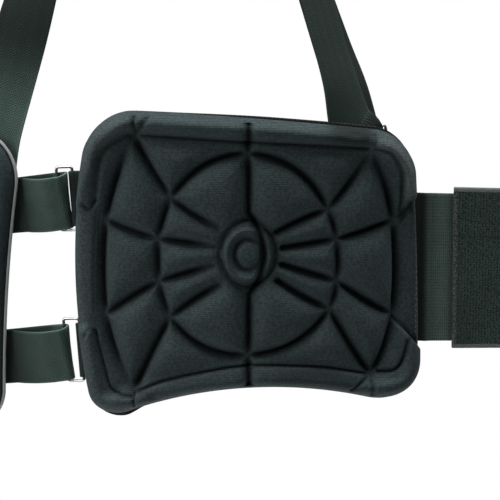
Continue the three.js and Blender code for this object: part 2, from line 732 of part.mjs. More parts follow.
function shoulderRing() {
  const { along, across, out } = SHOULDER_END;
  const loop = ringLoop(RING_SPAN, SHOULDER_RING_WIDTH);
  const points = loop.map((p) => SHOULDER_BAR.clone()
    .addScaledVector(along, p.x + RING_SPAN)
    .addScaledVector(across, p.y));
  return roundBar(points, loop.map(() => out), WIRE_RADIUS, WIRE_SIDES, true);
}

// Tab that hangs the shoulder ring on the inner face of the side pad, behind its top edge.
function shoulderTab() {
  const { along, across, out } = SHOULDER_END;
  const bar = SHOULDER_BAR.clone().addScaledVector(along, RING_SPAN);
  const fromCentre = bar.clone().sub(wrap(SIDE_MIDDLE, -SIDE_RADIUS, 0));
  const heading = Math.atan2(-fromCentre.y, -fromCentre.x);
  const u = (heading - SIDE_FACING) * SIDE_FACE_RADIUS;
  const low = bar.z - SHOULDER_TAB_DROP;
  const wall = (level, z) => ({
    point: onSide(u, z, level),
    across: onSide(u + 1, z, level).sub(onSide(u - 1, z, level)),
  });
  const leg = (side) => ({
    point: bar.clone().addScaledVector(out, side * BAR_CLEARANCE).addScaledVector(along, TAB_LEG),
    across,
  });
  const turn = Array.from({ length: LOOP_STEPS + 1 }, (_, i) => {
    const angle = (Math.PI * i) / LOOP_STEPS;
    const point = bar.clone()
      .addScaledVector(out, -BAR_CLEARANCE * Math.cos(angle))
      .addScaledVector(along, -BAR_CLEARANCE * Math.sin(angle));
    return { point, across };
  });
  return ribbon([
    wall(INNER_LAYER - TAB_SAG, low),
    wall(INNER_LAYER - TAB_SAG, low + TAB_SEWN),
    leg(-1),
    ...turn,
    leg(1),
    wall(OUTER_LAYER - TAB_SAG, low + TAB_SEWN),
    wall(OUTER_LAYER - TAB_SAG, low),
  ], SHOULDER_WIDTH, WEBBING);
}

// Band along the body line from one arc length to another, that falls a little towards its end.
function beltBand(from, to, level, height, thickness) {
  const bend = THREE.MathUtils.clamp(SIDE_FRONT_EDGE, from, to);
  const steps = Math.round((bend - from) / BELT_STEP);
  const lengths = Array.from({ length: steps }, (_, i) => THREE.MathUtils.lerp(from, bend, i / steps));
  return loft([...lengths, bend, to].map((s) => {
    const middle = BELT_MIDDLE - BELT_FALL * (s - SIDE_FRONT_EDGE);
    const corner = (n, v) => wrap(s, level + (n * thickness) / 2, middle + (v * height) / 2);
    return [corner(-1, -1), corner(-1, 1), corner(1, 1), corner(1, -1)];
  }));
}

const PATCH_START = SIDE_FRONT_EDGE + ELASTIC_RUN;

function beltElastic() {
  const level = -(SEAM_GAP + ELASTIC / 2);
  return beltBand(SIDE_FRONT_EDGE - ELASTIC_SEWN, PATCH_START + PATCH_LAP, level, ELASTIC_HEIGHT, ELASTIC);
}

function beltPatch() {
  const level = -SEAM_GAP + FIT_GAP + PATCH / 2;
  return beltBand(PATCH_START, PATCH_START + PATCH_LENGTH, level, PATCH_HEIGHT, PATCH);
}

const group = new THREE.Group();

function add(name, geometry, finish) {
  const mesh = new THREE.Mesh(geometry, new THREE.MeshStandardMaterial(COLOURS[finish]));
  mesh.name = name;
  group.add(mesh);
}

function addPair(name, geometry, finish) {
  add(`${name}_right`, geometry, finish);
  add(`${name}_left`, mirrored(geometry), finish);
}

addPair("side_pad", sidePad(), "foam");
addPair("side_backing", sideBacking(), "backing");
add("back_pad", backPad(), "foam");
add("back_piping", backPiping(), "piping");
for (const row of ADJUSTERS) {
  addPair(`adjuster_strap_${row.place}`, adjusterStrap(row), "webbing");
  addPair(`adjuster_ring_${row.place}`, adjusterRing(row), "wire");
  addPair(`ring_tab_${row.place}`, ringTab(row), "webbing");
}
addPair("shoulder_strap", shoulderStrap(), "webbing");
addPair("shoulder_ring", shoulderRing(), "wire");
addPair("shoulder_tab", shoulderTab(), "webbing");
addPair("belt_elastic", beltElastic(), "elastic");
addPair("belt_patch", beltPatch(), "patch");

export default group;
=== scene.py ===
"""Dresses the karting rib protector: moulded side pads, back pad, webbing, wire rings and belt."""

import math

import bpy
import numpy as np
from bpy.props import FloatProperty, FloatVectorProperty, PointerProperty
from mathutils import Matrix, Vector


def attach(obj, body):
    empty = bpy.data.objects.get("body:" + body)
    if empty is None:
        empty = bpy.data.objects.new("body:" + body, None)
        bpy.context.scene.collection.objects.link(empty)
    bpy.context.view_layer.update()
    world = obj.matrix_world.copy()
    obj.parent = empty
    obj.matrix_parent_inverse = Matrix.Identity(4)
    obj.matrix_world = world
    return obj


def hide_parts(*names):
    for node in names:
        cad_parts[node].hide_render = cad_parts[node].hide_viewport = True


bl_info = {
    "name": "Karting Rib Protector",
    "version": (1, 0, 0),
    "blender": (4, 5, 0),
    "location": "View3D > Sidebar > Protector",
    "description": "Builds the pads, webbing, rings and belt of a rib protector on its packed frame",
    "category": "Object",
}

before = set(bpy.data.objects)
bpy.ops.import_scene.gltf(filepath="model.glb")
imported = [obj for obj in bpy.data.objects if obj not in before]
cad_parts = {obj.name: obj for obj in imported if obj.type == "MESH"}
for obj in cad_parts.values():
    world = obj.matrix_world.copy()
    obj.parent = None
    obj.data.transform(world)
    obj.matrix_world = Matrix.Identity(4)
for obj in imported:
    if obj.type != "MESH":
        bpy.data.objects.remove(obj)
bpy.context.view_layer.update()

MM = 0.001
DEGREE = math.pi / 180
MERGE_DISTANCE = 0.01 * MM
SMOOTH_ANGLE = 50 * DEGREE
# Name of the point attribute that holds painted shade above nought and painted highlight below nought.
SHADE_NAME = "groove"

# Body line: the plan curve that the protector wraps round, from the middle of the back to the front.
BACK_LINE_X = -140 * MM
BACK_RADIUS = 210 * MM
BACK_TURN = 20 * DEGREE
GAP_LENGTH = 47 * MM
SIDE_RADIUS = 314 * MM
SIDE_FACING = 42 * DEGREE
SIDE_REACH = 124 * MM
FRONT_LENGTH = 240 * MM
SIDE_FACE_LEVEL = 16 * MM
BACK_FACE_LEVEL = 14 * MM
SIDE_FACE_RADIUS = SIDE_RADIUS + SIDE_FACE_LEVEL
BACK_FACE_RADIUS = BACK_RADIUS + BACK_FACE_LEVEL
SIDE_PAD_BASE = 3.3 * MM

# Stretches of the body line: length and turn.
SIDE_START = SIDE_FACING - SIDE_REACH / SIDE_FACE_RADIUS
SIDE_END = SIDE_FACING + SIDE_REACH / SIDE_FACE_RADIUS
STRETCHES = (
    (BACK_RADIUS * BACK_TURN, BACK_TURN),
    (GAP_LENGTH, SIDE_START - BACK_TURN),
    (SIDE_RADIUS * (SIDE_END - SIDE_START), SIDE_END - SIDE_START),
    (FRONT_LENGTH, 0.0),
)
BACK_EDGE = STRETCHES[0][0]
SIDE_BACK_EDGE = BACK_EDGE + GAP_LENGTH
SIDE_MIDDLE = SIDE_BACK_EDGE + SIDE_RADIUS * (SIDE_FACING - SIDE_START)
SIDE_FRONT_EDGE = SIDE_BACK_EDGE + STRETCHES[2][0]

# Panel outlines in millimetres: u, v, corner radius, and the bow of the edge that starts at the corner.
SIDE_CORNERS = MM * np.array([
    (-109.7, 94.3, 30, 4.3),
    (116.3, 79.1, 27, 2.2),
    (123, -114.4, 39, -25.6),
    (-107.9, -122.6, 23, 14.7),
])
BACK_CORNERS = MM * np.array([
    (-83, 70, 32, 5),
    (83, 70, 32, -5),
    (64.5, -128, 22, 3),
    (-64.5, -128, 22, -5),
])
# Face of a side pad: within about a millimetre of its lining, which shows along the top and the lower back.
PAD_CORNERS = MM * np.array([
    (-109.7, 95.3, 30, 3.9),
    (116.3, 78.2, 27, 2.2),
    (123, -115.2, 39, -25.6),
    (-107.9, -122.2, 23, 14.7),
])
EDGE_STEPS = 40
CORNER_STEPS = 12
CORNER_PULL = 0.55
TANGENT_STEP = 1 * MM

# Zones where the lining stands out past its outline: smooth steps up and along.
LINING_TOP_ZONE = ((40 * MM, 70 * MM), (-60 * MM, 20 * MM))
LINING_FOOT_ZONE = ((85 * MM, 105 * MM), (70 * MM, 90 * MM))

# Grids of the panels: spans of a side pad's cells, cells of the others, and shares of the rear's rings.
SIDE_SPANS = (232 * MM, 200 * MM)
BACK_CELLS = (96, 112)
LINING_CELLS = (96, 84)
REAR_RINGS = (0.93, 0.75, 0.5, 0.25, 0)

# Edge of the pads: its foot above the rear, its rounded rows, and the inset and drop of its skirt.
EDGE_FOOT = 4 * MM
ROUND_START = 2.2 * MM
ROUND_ROWS = 7
EDGE_SKIRT = ((0.0, 1.6 * MM), (0.12 * MM, 3 * MM))
REAR_INSET = 0.5 * MM

# Crowns of the pads: the inset where they start to rise, and the distance over which they rise.
SIDE_CROWN = (15 * MM, 70 * MM)
BACK_CROWN = (8 * MM, 60 * MM)
BACK_CROWN_EXTRA = 1.6 * MM

# Web of the side pads in millimetres: u forwards and v up from the hub.
WEB_POINTS = {
    "back_top_corner": (-78.5, 79),
    "front_top_corner": (85, 69.5),
    "front_low_corner": (86, -85.5),
    "back_low_corner": (-79, -96),
    "back_top_knot": (-52.5, 37),
    "front_top_knot": (54.5, 29),
    "front_low_knot": (56, -38.5),
    "back_low_knot": (-53.5, -44.5),
    "back_top_side": (-99, 20.5),
    "front_top_side": (100.5, 20.5),
    "front_low_side": (101, -44.5),
    "back_low_side": (-99.5, -45),
    "back_top_cross": (-61.5, 9),
    "front_top_cross": (60.5, 9),
    "front_low_cross": (61, -19.5),
    "back_low_cross": (-61, -20),
    "back_top_hub": (-20, 18),
    "front_top_hub": (19.5, 14.5),
    "front_low_hub": (20.5, -18.5),
    "back_low_hub": (-20, -21.5),
    "back_upper_hub": (-23, 5),
    "front_upper_hub": (24, 4),
    "front_lower_hub": (23.5, -7.5),
    "back_lower_hub": (-24, -8),
    "ring_top": (0.5, 67.5),
    "ring_low": (0.5, -70),
    "centre_top": (0.5, 93),
    "centre_upper": (0.5, 27.5),
    "centre_lower": (0.5, -28),
    "centre_low": (0.5, -93),
}
# Grooves of the web: start, end and bow in millimetres.
DEEP_GROOVES = (
    ("back_top_corner", "back_top_knot", -1),
    ("front_top_corner", "front_top_knot", 1),
    ("front_low_corner", "front_low_knot", 1),
    ("back_low_corner", "back_low_knot", 1),
    ("back_top_knot", "back_top_hub", -1.5),
    ("front_top_knot", "front_top_hub", -1),
    ("front_low_knot", "front_low_hub", 1),
    ("back_low_knot", "back_low_hub", 1),
    ("back_top_side", "back_top_cross", -1),
    ("front_top_side", "front_top_cross", 1),
    ("front_low_side", "front_low_cross", 1),
    ("back_low_side", "back_low_cross", 1),
    ("back_top_cross", "back_upper_hub", 0),
    ("front_top_cross", "front_upper_hub", 0),
    ("front_low_cross", "front_lower_hub", 0),
    ("back_low_cross", "back_lower_hub", 0),
    ("back_top_knot", "ring_top", 8),
    ("ring_top", "front_top_knot", 10),
    ("front_low_knot", "ring_low", 8),
    ("ring_low", "back_low_knot", 8),
    ("back_top_knot", "back_top_cross", -1),
    ("back_top_cross", "back_low_cross", -0.5),
    ("back_low_cross", "back_low_knot", -1),
    ("front_top_knot", "front_top_cross", 1),
    ("front_top_cross", "front_low_cross", 1),
    ("front_low_cross", "front_low_knot", 1),
    ("back_top_corner", "back_top_side", -2),
    ("back_top_side", "back_low_side", -2),
    ("back_low_side", "back_low_corner", -3),
    ("front_top_corner", "front_top_side", 2),
    ("front_top_side", "front_low_side", 2.5),
    ("front_low_side", "front_low_corner", 2),
    ("centre_top", "centre_upper", 0),
    ("centre_upper", "centre_lower", 10.8),
    ("centre_lower", "centre_low", 0),
)
GROOVE_POINTS = 13
# Darkness of the painted shade at the bottom of each groove.
GROOVE_PAINTED_SHADE = 0.95
# Insets over which the grooves come in from the pad's edge.
GROOVE_FADE = (0.8 * MM, 3.5 * MM)

# Grooves that are softly pressed at one of their ends, and the name of that end.
SOFT_GROOVES = {
    ("back_top_corner", "back_top_side"): "back_top_corner",
    ("front_top_corner", "front_top_side"): "front_top_corner",
    ("front_top_corner", "front_top_knot"): "front_top_corner",
    ("back_low_side", "back_low_corner"): "back_low_corner",
}
SOFT_PRESS = 0.35
SOFT_REACH = (6 * MM, 34 * MM)
SPOKE_REACH = (22 * MM, 42 * MM)

# Knots of the web, where the bottoms of the grooves are bridged.
NOT_KNOTS = ("_hub", "centre_top", "centre_upper", "centre_lower", "centre_low")
KNOT_REACH = 5.5 * MM
CORNER_REACH = 4.5 * MM
KNOT_BRIDGE = 0.65

# Shallow pressed lines of the border, with painted shade in them: depth, half width, darkness of the
# painted shade and points, in millimetres.
LONG_LINES = (
    (2.1, 1.7, 0.80, ((-72, 79), (-39, 77.5), (0.5, 75.5), (49, 73), (82, 70.5))),
    (2.0, 1.3, 0.85, ((-76, -96.5), (-59, -89), (-34.5, -82.5), (0.5, -77), (49.5, -78.5), (82, -85))),
)
PRESSED_LINES = (
    *LONG_LINES,
    (1.8, 2.3, 0.45, ((-81, 79), (-84, 78.5), (-98, 68.5), (-103, 54.5), (-104.5, 41), (-106, 33.5))),
    (2.1, 1.7, 0.80, ((86, 70), (92, 68.5), (98, 65.5), (104.5, 54.5), (106, 43), (105.5, 28))),
    (2.2, 1.3, 0.90, ((91, -84), (97, -83.5), (102, -82.3), (106.5, -77.5), (109, -70), (110.3, -62))),
    (2.0, 1.2, 0.85, ((-80, -100), (-87, -99), (-94.5, -95), (-98.5, -83), (-103, -67.5), (-106, -55.5))),
    (2.6, 1.6, 0.90, ((-76.8, 83), (-77.3, 98))),
    (2.0, 2.2, 0.65, ((-77, 80.5), (-71.5, 86), (-66, 94))),
    (2.2, 1.8, 0.65, ((86, 74), (86.5, 82))),
    (1.8, 4.5, 0.45, ((79, 75.5), (72, 81.5))),
    (2.0, 1.3, 0.80, ((82.5, -87), (71.5, -95))),
    (1.8, 1.8, 0.65, ((85, -89), (85.5, -98))),
    (2.2, 1.2, 0.90, ((-78.3, -98), (-78.5, -108))),
    (1.2, 3.2, 0.30, ((-73, -96.5), (-63.5, -100))),
    (1.3, 1.6, 0.65, ((-105.5, 34), (-109, 28), (-113, 31.5))),
    (1.1, 1.5, 0.40, ((-105, -59), (-108.5, -53.5), (-112.5, -59.5))),
    (2.4, 3.6, 1.00, ((106, 23.5), (108.5, 27), (110.5, 29.5), (112, 32))),
    (1.3, 2.0, 0.40, ((101, -47), (107, -52.5), (112.5, -59.5), (119, -66))),
    (1.4, 2.4, 0.95, ((5.2, 20.5), (9.2, 11), (10.9, 0), (9.3, -11), (5.6, -20))),
    (0.6, 0.8, 0.35, ((-105.5, 23.5), (-107, -9), (-107, -42))),
    (0.6, 0.8, 0.30, ((-103.2, 23.5), (-104.7, -9), (-104.7, -42))),
)
LINE_STEPS = 6
# Share of a pressed line's width that its shade takes up.
LINE_SHADE = 0.75

# Painted shadows on the border's roll, one below the shoulder strap and one along the lower front border:
# darkness, reach and points, in millimetres.
PAINTED_SHADOWS = (
    (0.76, 9, ((79, 80), (63, 81.5))),
    (0.30, 11, ((30, -88), (72, -93))),
)

# Panels between the grooves: the insets over which they start, and how far they sink at the grooves.
PANEL_START = (10 * MM, 22 * MM)
PANEL_SINK = 2 * MM

# Roll of the border, with smooth steps for its corners and for where it is low behind and below.
ROLL_CREST = 6 * MM
ROLL_INNER = 6.5 * MM
CORNER_CREST = 10.5 * MM
CORNER_INNER = 4.5 * MM
CORNER_GAIN = 0.35
CORNER_ZONE = ((76 * MM, 92 * MM), (38 * MM, 58 * MM))
BEHIND_LOSS = 0.7
BEHIND_ZONE = (90 * MM, 98 * MM)
BEHIND_ENDS = ((-57 * MM, -50 * MM), (24 * MM, 32 * MM))
BELOW_LOSS = 0.6
BELOW_ZONE = (60 * MM, 75 * MM)
BELOW_ENDS = ((-75 * MM, -55 * MM), (70 * MM, 90 * MM))

# Painted highlight on the roll: at the front top corner, and along the back, more so near the top.
PAINTED_HIGHLIGHT_FRONT = ((80 * MM, 90 * MM), (22 * MM, 50 * MM))
PAINTED_HIGHLIGHT_BACK = (74 * MM, 94 * MM)
PAINTED_HIGHLIGHT_BACK_SHARES = (0.25, 0.45)
PAINTED_HIGHLIGHT_BACK_TOP = (45 * MM, 65 * MM)
PAINTED_HIGHLIGHT_INSET = 8 * MM
PAINTED_HIGHLIGHT_WIDTH = 5 * MM
PAINTED_HIGHLIGHT_TONE = 0.85

# Flange: the front border pressed flat for the belt. Its ends slant: u, v in millimetres, and slope.
FLANGE_UPPER = (105.5, 20, 1.33)
FLANGE_LOWER = (101, -47, -1.055)
FLANGE_START = (99 * MM, 104 * MM)
FLANGE_ENDS = (-2 * MM, 1.5 * MM)
FLANGE_DEPTH = 2.6 * MM
FLANGE_INSET = (2.2 * MM, 6 * MM)
FLANGE_TUCK = 1.1 * MM
FLANGE_TUCK_ZONE = (104 * MM, 116 * MM)

# Hub: an upright oval with its radii measured upwards.
HUB_NARROW = 0.86
HUB_DISC = 10.3 * MM
HUB_RING = 16.8 * MM
HUB_ARC = 21 * MM
HUB_MOAT = 21.2 * MM
HUB_STEP = 1 * MM
HUB_CROWN = 0.8 * MM
HUB_SHOULDER_LOSS = 0.4
# Rings of the hub: radius, rise and width.
HUB_RELIEF = (
    (HUB_MOAT, -2.6 * MM, 3.2 * MM),
    (HUB_DISC, -2.4 * MM, 2.4 * MM),
    (HUB_RING, 1.7 * MM, 1.7 * MM),
)
# Painted shade in the hub's grooves: radius, darkness and width in front, darkness and width behind.
HUB_SHADES = (
    (HUB_MOAT, 0.65, 3.6 * MM, 0.35, 2.2 * MM),
    (HUB_DISC, 0.20, 1.8 * MM, 0.85, 1.8 * MM),
)
HUB_BEHIND = (-0.5, 1)
# Painted shade: dark arcs in the bottom of the moat behind the hub, above and below its middle.
ARC_PAINTED_SHADE = 0.95
ARC_WIDTH = 1.3 * MM
ARC_ENDS = ((1 * MM, 4 * MM), (14 * MM, 19 * MM))

# Faint ripples of the foam: rise, and lengths along, up and of their wander.
RIPPLE_RISE = 0.18 * MM
RIPPLE_ALONG = 17 * MM
RIPPLE_UP = 19 * MM
RIPPLE_WANDER = 23 * MM

# Adjusters at the back edge of each side pad: height, set-back of the ring and reach of the strap.
ADJUSTERS = {
    "upper": (31.7 * MM, 5 * MM, 41 * MM),
    "lower": (-74 * MM, 1 * MM, 56 * MM),
}
ADJUSTER_TILT = 4.6 * DEGREE
ADJUSTER_SKEW = 0.08
SEWN_LENGTH = 16 * MM
RING_TAB_LENGTH = 22 * MM
RING_LEVEL = -2.6 * MM
OUTER_LAYER = -1.5 * MM
INNER_LAYER = -3.4 * MM
INNER_DIP = 0.2 * MM
RING_LAYER = -4.7 * MM
LOOP_RADIUS = 4.6 * MM
LOOP_INSETS = {"upper": 3.6 * MM, "lower": -0.6 * MM}
TAB_TURN = 2.1 * MM
TAB_NECK = (1.8 * MM, 0.9 * MM)
TAB_CLOSED = 3.4 * MM

# Slack of the adjuster straps: share of the reach and level, then the shares that lean and sag.
SLACK = ((0.38, 6.6 * MM), (0.58, 5.4 * MM), (0.78, 2 * MM))
SLACK_LANDING = 0.92
SLACK_SHARES = ((0.44, 0.54), (0.60, 0.94))
SLACK_LEAN = 12 * DEGREE
SLACK_SAG = 1.7 * MM

# Straps and wire: spacing of the points across, rounding as a share of the thickness, and steps.
STRAP_COLUMN = 1.6 * MM
BAND_ROUNDING = 0.36
PATH_STEPS = 12
TURN_STEPS = 24
BAR_STEPS = 16
BEND_STEPS = 8
WIRE_SIDES = 12

# Shoulder strap: sewn points on the back, then forward, inward, height and facing from the side pad's hub.
SHOULDER_SEWN_LEVEL = -2.3 * MM
SHOULDER_SEWN = ((52, 52), (56, 74))
SHOULDER_ROUTE = (
    (-158, 58, 133, 166),
    (-135, 58, 205, 140),
    (-100, 58, 275, 115),
    (-46, 57, 308, 93),
    (5, 55, 270, 75),
    (33, 50, 205, 58),
    (57.5, 44.1, 135, 48),
    (66.8, 40.9, 108, 42),
    (73.5, 39.6, 77.5, 32),
)
ROUTE_STEPS = 240
HEADING_STEP = 0.0001
BAR_CLEARANCE = 2.5 * MM
RETURN_LENGTH = 120 * MM
RETURN_STEPS = 60
RETURN_SHIFT = -3 * MM
RETURN_SWING = -6.5 * MM
RETURN_EARLY = 0.6
RETURN_BULGE = 0.6 * MM
RETURN_SEAT = 1.9 * MM
RETURN_LEAN = 8 * DEGREE
TAB_DROP = 34 * MM
TAB_SEWN = 14 * MM
TAB_LEG = 6 * MM
TAB_SAG = 0.8 * MM

# Belt: elastic sewn behind the pad's front edge, and the hook-and-loop patch over its end.
BELT_MIDDLE = -15.6 * MM
BELT_FALL = 0.075
BELT_COLUMN = 2.5 * MM
BELT_ROW = 1.2 * MM
ELASTIC_START = SIDE_FRONT_EDGE - 12 * MM
ELASTIC_LEVEL = -1.7 * MM
FOLD_PLACE = SIDE_FRONT_EDGE + 8 * MM
FOLD_WIDTH = 2.4 * MM
FOLD_RISE = 0.9 * MM
PATCH_START = SIDE_FRONT_EDGE + 28 * MM
PATCH_LAP = 14 * MM
PATCH_LENGTH = 120 * MM
PATCH_LEVEL = 0.8 * MM

# Seams: their places, the sway of their stitches and the flatness of their thread.
PATCH_SEAM_INSET = 1.6 * MM
PATCH_SEAM_MARGIN = 6 * MM
PATCH_SEAM_SWAY = 0.35 * MM
PATCH_SEAM_FLATNESS = 0.6
FLANGE_SEAM_PLACE = 119.3 * MM
FLANGE_SEAM_MIDDLE = -16 * MM
FLANGE_SEAM_SWAY = 0.5 * MM
FLANGE_SEAM_FLATNESS = 0.5
FLANGE_STITCHES = 23

PIPING_LEVEL = 4 * MM
PIPING_OFFSET = 1.6 * MM
PIPING_STEP = 2 * MM
PIPING_SIDES = 10

# Painted shade on the adjusters: darkness, and the shares of the strap over which it fades.
INNER_TONE = 0.7
INNER_SHARES = (0.35, 0.42)
SLACK_TONE = 0.85
SLACK_TONE_STARTS = {"upper": 0.56, "lower": 0.48}
SLACK_TONE_END = 0.86
RING_TAB_TONE = 0.92

# Painted shade on the shoulder straps: darkness, and lengths from the sewn end, or from the turn at the
# ring.
REAR_TONE = 0.92
REAR_FADE = (38 * MM, 100 * MM)
COVERED_TONE = 0.93
COVERED_FADE = (-1.1 * RETURN_LENGTH, -0.8 * RETURN_LENGTH)
DOUBLED_TONES = (0.74, 0.86)
DOUBLED_FADE = (10 * MM, 60 * MM)
DOUBLED_START = (8 * MM, 14 * MM)

# Painted shadow on the elastic, cast by the pad's edge: its darkness at that edge, and how much of it fades
# over which lengths.
ELASTIC_TONE = 0.98
ELASTIC_FADES = (
    (0.50, 4.5 * MM, 10 * MM),
    (0.48, 8 * MM, 21 * MM),
)

# Cloths: pitches and rows of their threads, the tint of the painted highlight on the knit, and how little
# they shine.
KNIT_RIBS = 1.5 * MM
KNIT_WALES = 1.7 * MM
LINING_COLUMNS = 3.2 * MM
LINING_ROWS = 2.6 * MM
HERRINGBONE_ROWS = 8
TWILL_PITCH = 2.1 * MM
WARP_PITCH = 1.25 * MM
ELASTIC_RIBS = 1.5 * MM
ELASTIC_CORES = 2.2 * MM
LOOP_ROWS = 2.3 * MM
LOOP_COLUMNS = 1.8 * MM
PIPING_TWIST = 1.6 * MM
PAINTED_HIGHLIGHT_TINT = (2.7, 2.15, 2.1)
CLOTH_SPECULAR = 0.08

# Picture: the height of the hub's face, and where the camera aims from its middle.
HUB_LEVEL = 17.3 * MM
AIM_RIGHT = 1.34 * MM
AIM_UP = 3.35 * MM
CAMERA_FAR = 200
FLOOR_SIDES = 96
FILL_TINT = (0.95, 0.98, 1, 1)
BACKDROP_TINT = (1, 1, 1, 1)
LIGHT_PLACE = (0, 0, 2)

# Lights: share of the key's strength, then spread, turn from the camera and tilt, in degrees.
LIGHTS = (
    ("soft_key", 1.0, 30, -60, 80),
    ("front_light", 0.56, 50, -66, 20),
    ("right_edge_light", 0.80, 40, 95, 56),
    ("left_edge_light", 0.50, 40, -105, 55),
)


def size(name, description, millimetres):
    """A length that a user may change."""
    return FloatProperty(
        name=name,
        description=description,
        default=millimetres * MM,
        min=0,
        precision=4,
        unit="LENGTH",
    )


def colour(name, description, value):
    """A colour that a user may change."""
    return FloatVectorProperty(
        name=name,
        description=description,
        default=value,
        min=0,
        max=1,
        size=3,
        subtype="COLOR",
    )


class ProtectorPads(bpy.types.PropertyGroup):
    """Sizes of the moulded pads."""

    cell: size("Cell", "Spacing of the points of a side pad's face", 0.85)
    edge_rise: size("Edge rise", "Height of a pad's rounded edge", 8.2)
    edge_round: size("Edge round", "Inset over which a pad's edge rounds over", 9)
    crown: size("Crown", "How far a pad swells at its middle", 2)
    bolster: size("Bolster", "Rise of the roll round a side pad's border", 4.2)
    puff: size("Puff", "Rise of each panel between the grooves", 4.2)
    puff_reach: size("Puff reach", "Distance over which a panel rises from its groove", 9)
    crease_depth: size("Crease depth", "Depth of the narrow bottom of a groove", 3.2)
    crease_width: size("Crease width", "Half width of the narrow bottom of a groove", 2.2)
    shoulder_depth: size("Shoulder depth", "Depth of the soft shoulders of a groove", 2.2)
    shoulder_width: size("Shoulder width", "Half width of the soft shoulders of a groove", 5)
    lining: size("Lining", "Thickness of the lining behind a side pad", 3)
    lining_top: size("Lining top", "How far the lining stands out along the top", 0.8)
    lining_foot: size("Lining foot", "How far the lining stands out at the lower back corner", 2.8)


class ProtectorWebbing(bpy.types.PropertyGroup):
    """Sizes of the straps, the rings and the piping."""

    width: size("Width", "Width of the straps", 38)
    thickness: size("Thickness", "Thickness of the straps", 1.6)
    step: size("Step", "Spacing of the points along a strap", 1.5)
    wire: size("Wire", "Radius of the rings' wire", 1)
    ring_span: size("Ring span", "Inside reach of a ring along its strap", 12)
    ring_height: size("Ring height", "Length of an adjuster ring across its strap", 44)
    shoulder_ring: size("Shoulder ring", "Length of a shoulder ring across its strap", 46)
    ring_bend: size("Ring bend", "Bend radius at a ring's corners", 2)
    piping: size("Piping", "Radius of the back pad's piping", 1.1)


class ProtectorBelt(bpy.types.PropertyGroup):
    """Sizes of the belt."""

    elastic_height: size("Elastic height", "Height of the elastic", 103.6)
    elastic_thickness: size("Elastic thickness", "Thickness of the elastic", 2)
    patch_height: size("Patch height", "Height of the hook-and-loop patch", 113.2)
    patch_thickness: size("Patch thickness", "Thickness of the hook-and-loop patch", 2.4)
    patch_join: size("Patch join", "Height of the sewn join of the patch's two tapes", 79)
    stitch: size("Stitch", "Length of one stitch", 2.6)
    stitch_pitch: size("Stitch pitch", "Spacing of the stitches", 3.8)
    stitch_radius: size("Stitch radius", "Radius of the thread", 0.35)


class ProtectorFinishes(bpy.types.PropertyGroup):
    """Colours of the cloths, the thread and the floor."""

    knit: colour("Knit", "Face of the moulded pads", (0.0230, 0.0330, 0.0345))
    lining: colour("Lining", "Mesh lining behind the pads", (0.0115, 0.0142, 0.0125))
    piping: colour("Piping", "Cord round the back pad", (0.220, 0.235, 0.220))
    webbing: colour("Webbing", "Straps and tabs", (0.0415, 0.0665, 0.0570))
    elastic: colour("Elastic", "Elastic of the belt", (0.0480, 0.0700, 0.0630))
    patch: colour("Patch", "Hook-and-loop patch", (0.0128, 0.0230, 0.0200))
    selvage: colour("Selvage", "Woven edges of the patch", (0.1050, 0.1180, 0.1080))
    thread: colour("Thread", "Stitching", (0.0600, 0.0700, 0.0660))
    wire: colour("Wire", "Plated wire of the rings", (0.330, 0.340, 0.330))
    floor: colour("Floor", "Studio floor", (0.750, 0.750, 0.750))


class ProtectorStage(bpy.types.PropertyGroup):
    """Camera and light of the picture."""

    distance: size("Distance", "Distance from the camera to the hub", 1600)
    azimuth: FloatProperty(
        name="Azimuth",
        description="Turn of the camera round the protector",
        default=-48 * DEGREE,
        subtype="ANGLE",
        unit="ROTATION",
    )
    elevation: FloatProperty(
        name="Elevation",
        description="Tilt of the camera above the hub",
        default=10 * DEGREE,
        subtype="ANGLE",
        unit="ROTATION",
    )
    field: FloatProperty(
        name="Field of view",
        description="Angle that the picture takes in",
        default=11.95 * DEGREE,
        subtype="ANGLE",
        unit="ROTATION",
    )
    floor_drop: size("Floor drop", "Depth of the floor below the hubs", 1500)
    floor_radius: size("Floor radius", "Reach of the round floor", 1600)
    key: FloatProperty(
        name="Key",
        description="Strength of the soft light from above",
        default=4.4,
        min=0,
    )
    fill: FloatProperty(
        name="Fill",
        description="Strength of the light from all round",
        default=0.11,
        min=0,
    )


def settings(name):
    """One of the scene's groups of sizes and colours."""
    return getattr(bpy.context.scene, "protector_" + name)


def wrap(along, out, height):
    """Points at arc lengths along the body line, moved outwards from it, at heights."""
    along, out, height = np.broadcast_arrays(*(np.asarray(x, float) for x in (along, out, height)))
    left = np.abs(along)
    heading = np.zeros(left.shape)
    x = np.full(left.shape, BACK_LINE_X)
    y = np.zeros(left.shape)
    for length, turn in STRETCHES:
        part = np.minimum(left, length)
        swept = turn * part / length
        chord = part * np.sinc(swept / (2 * np.pi))
        x = x + chord * np.sin(heading + swept / 2)
        y = y - chord * np.cos(heading + swept / 2)
        heading = heading + swept
        left = left - part
    y = y - out * np.sin(heading)
    return np.stack([x - out * np.cos(heading), np.where(along < 0, -y, y), height], -1)


def on_side(u, v, out):
    """Points on the right side pad's own surface."""
    return wrap(SIDE_MIDDLE + np.asarray(u) * SIDE_RADIUS / SIDE_FACE_RADIUS, out, v)


def on_back(u, v, out):
    """Points on the back pad's own surface."""
    return wrap(np.asarray(u) * BACK_RADIUS / BACK_FACE_RADIUS, out, v)


def from_hub(forward, inward, height):
    """Point measured forwards, inwards and up from the hub of the right side pad, in millimetres."""
    ahead = np.array([math.sin(SIDE_FACING), -math.cos(SIDE_FACING), 0])
    behind = np.array([math.cos(SIDE_FACING), math.sin(SIDE_FACING), 0])
    hub = wrap(SIDE_MIDDLE, SIDE_FACE_LEVEL, height * MM)
    return hub + ahead * forward * MM + behind * inward * MM


def unit(vectors):
    """Vectors made one long."""
    return vectors / np.linalg.norm(vectors, axis=-1, keepdims=True)


def bowed(a, b, bow, t):
    """Points on the edge from a to b, which swells by bow at its middle."""
    along = b - a
    out = unit(np.array([-along[1], along[0]]))
    t = np.asarray(t)[:, None]
    return a + along * t + out * (4 * bow * t * (1 - t))


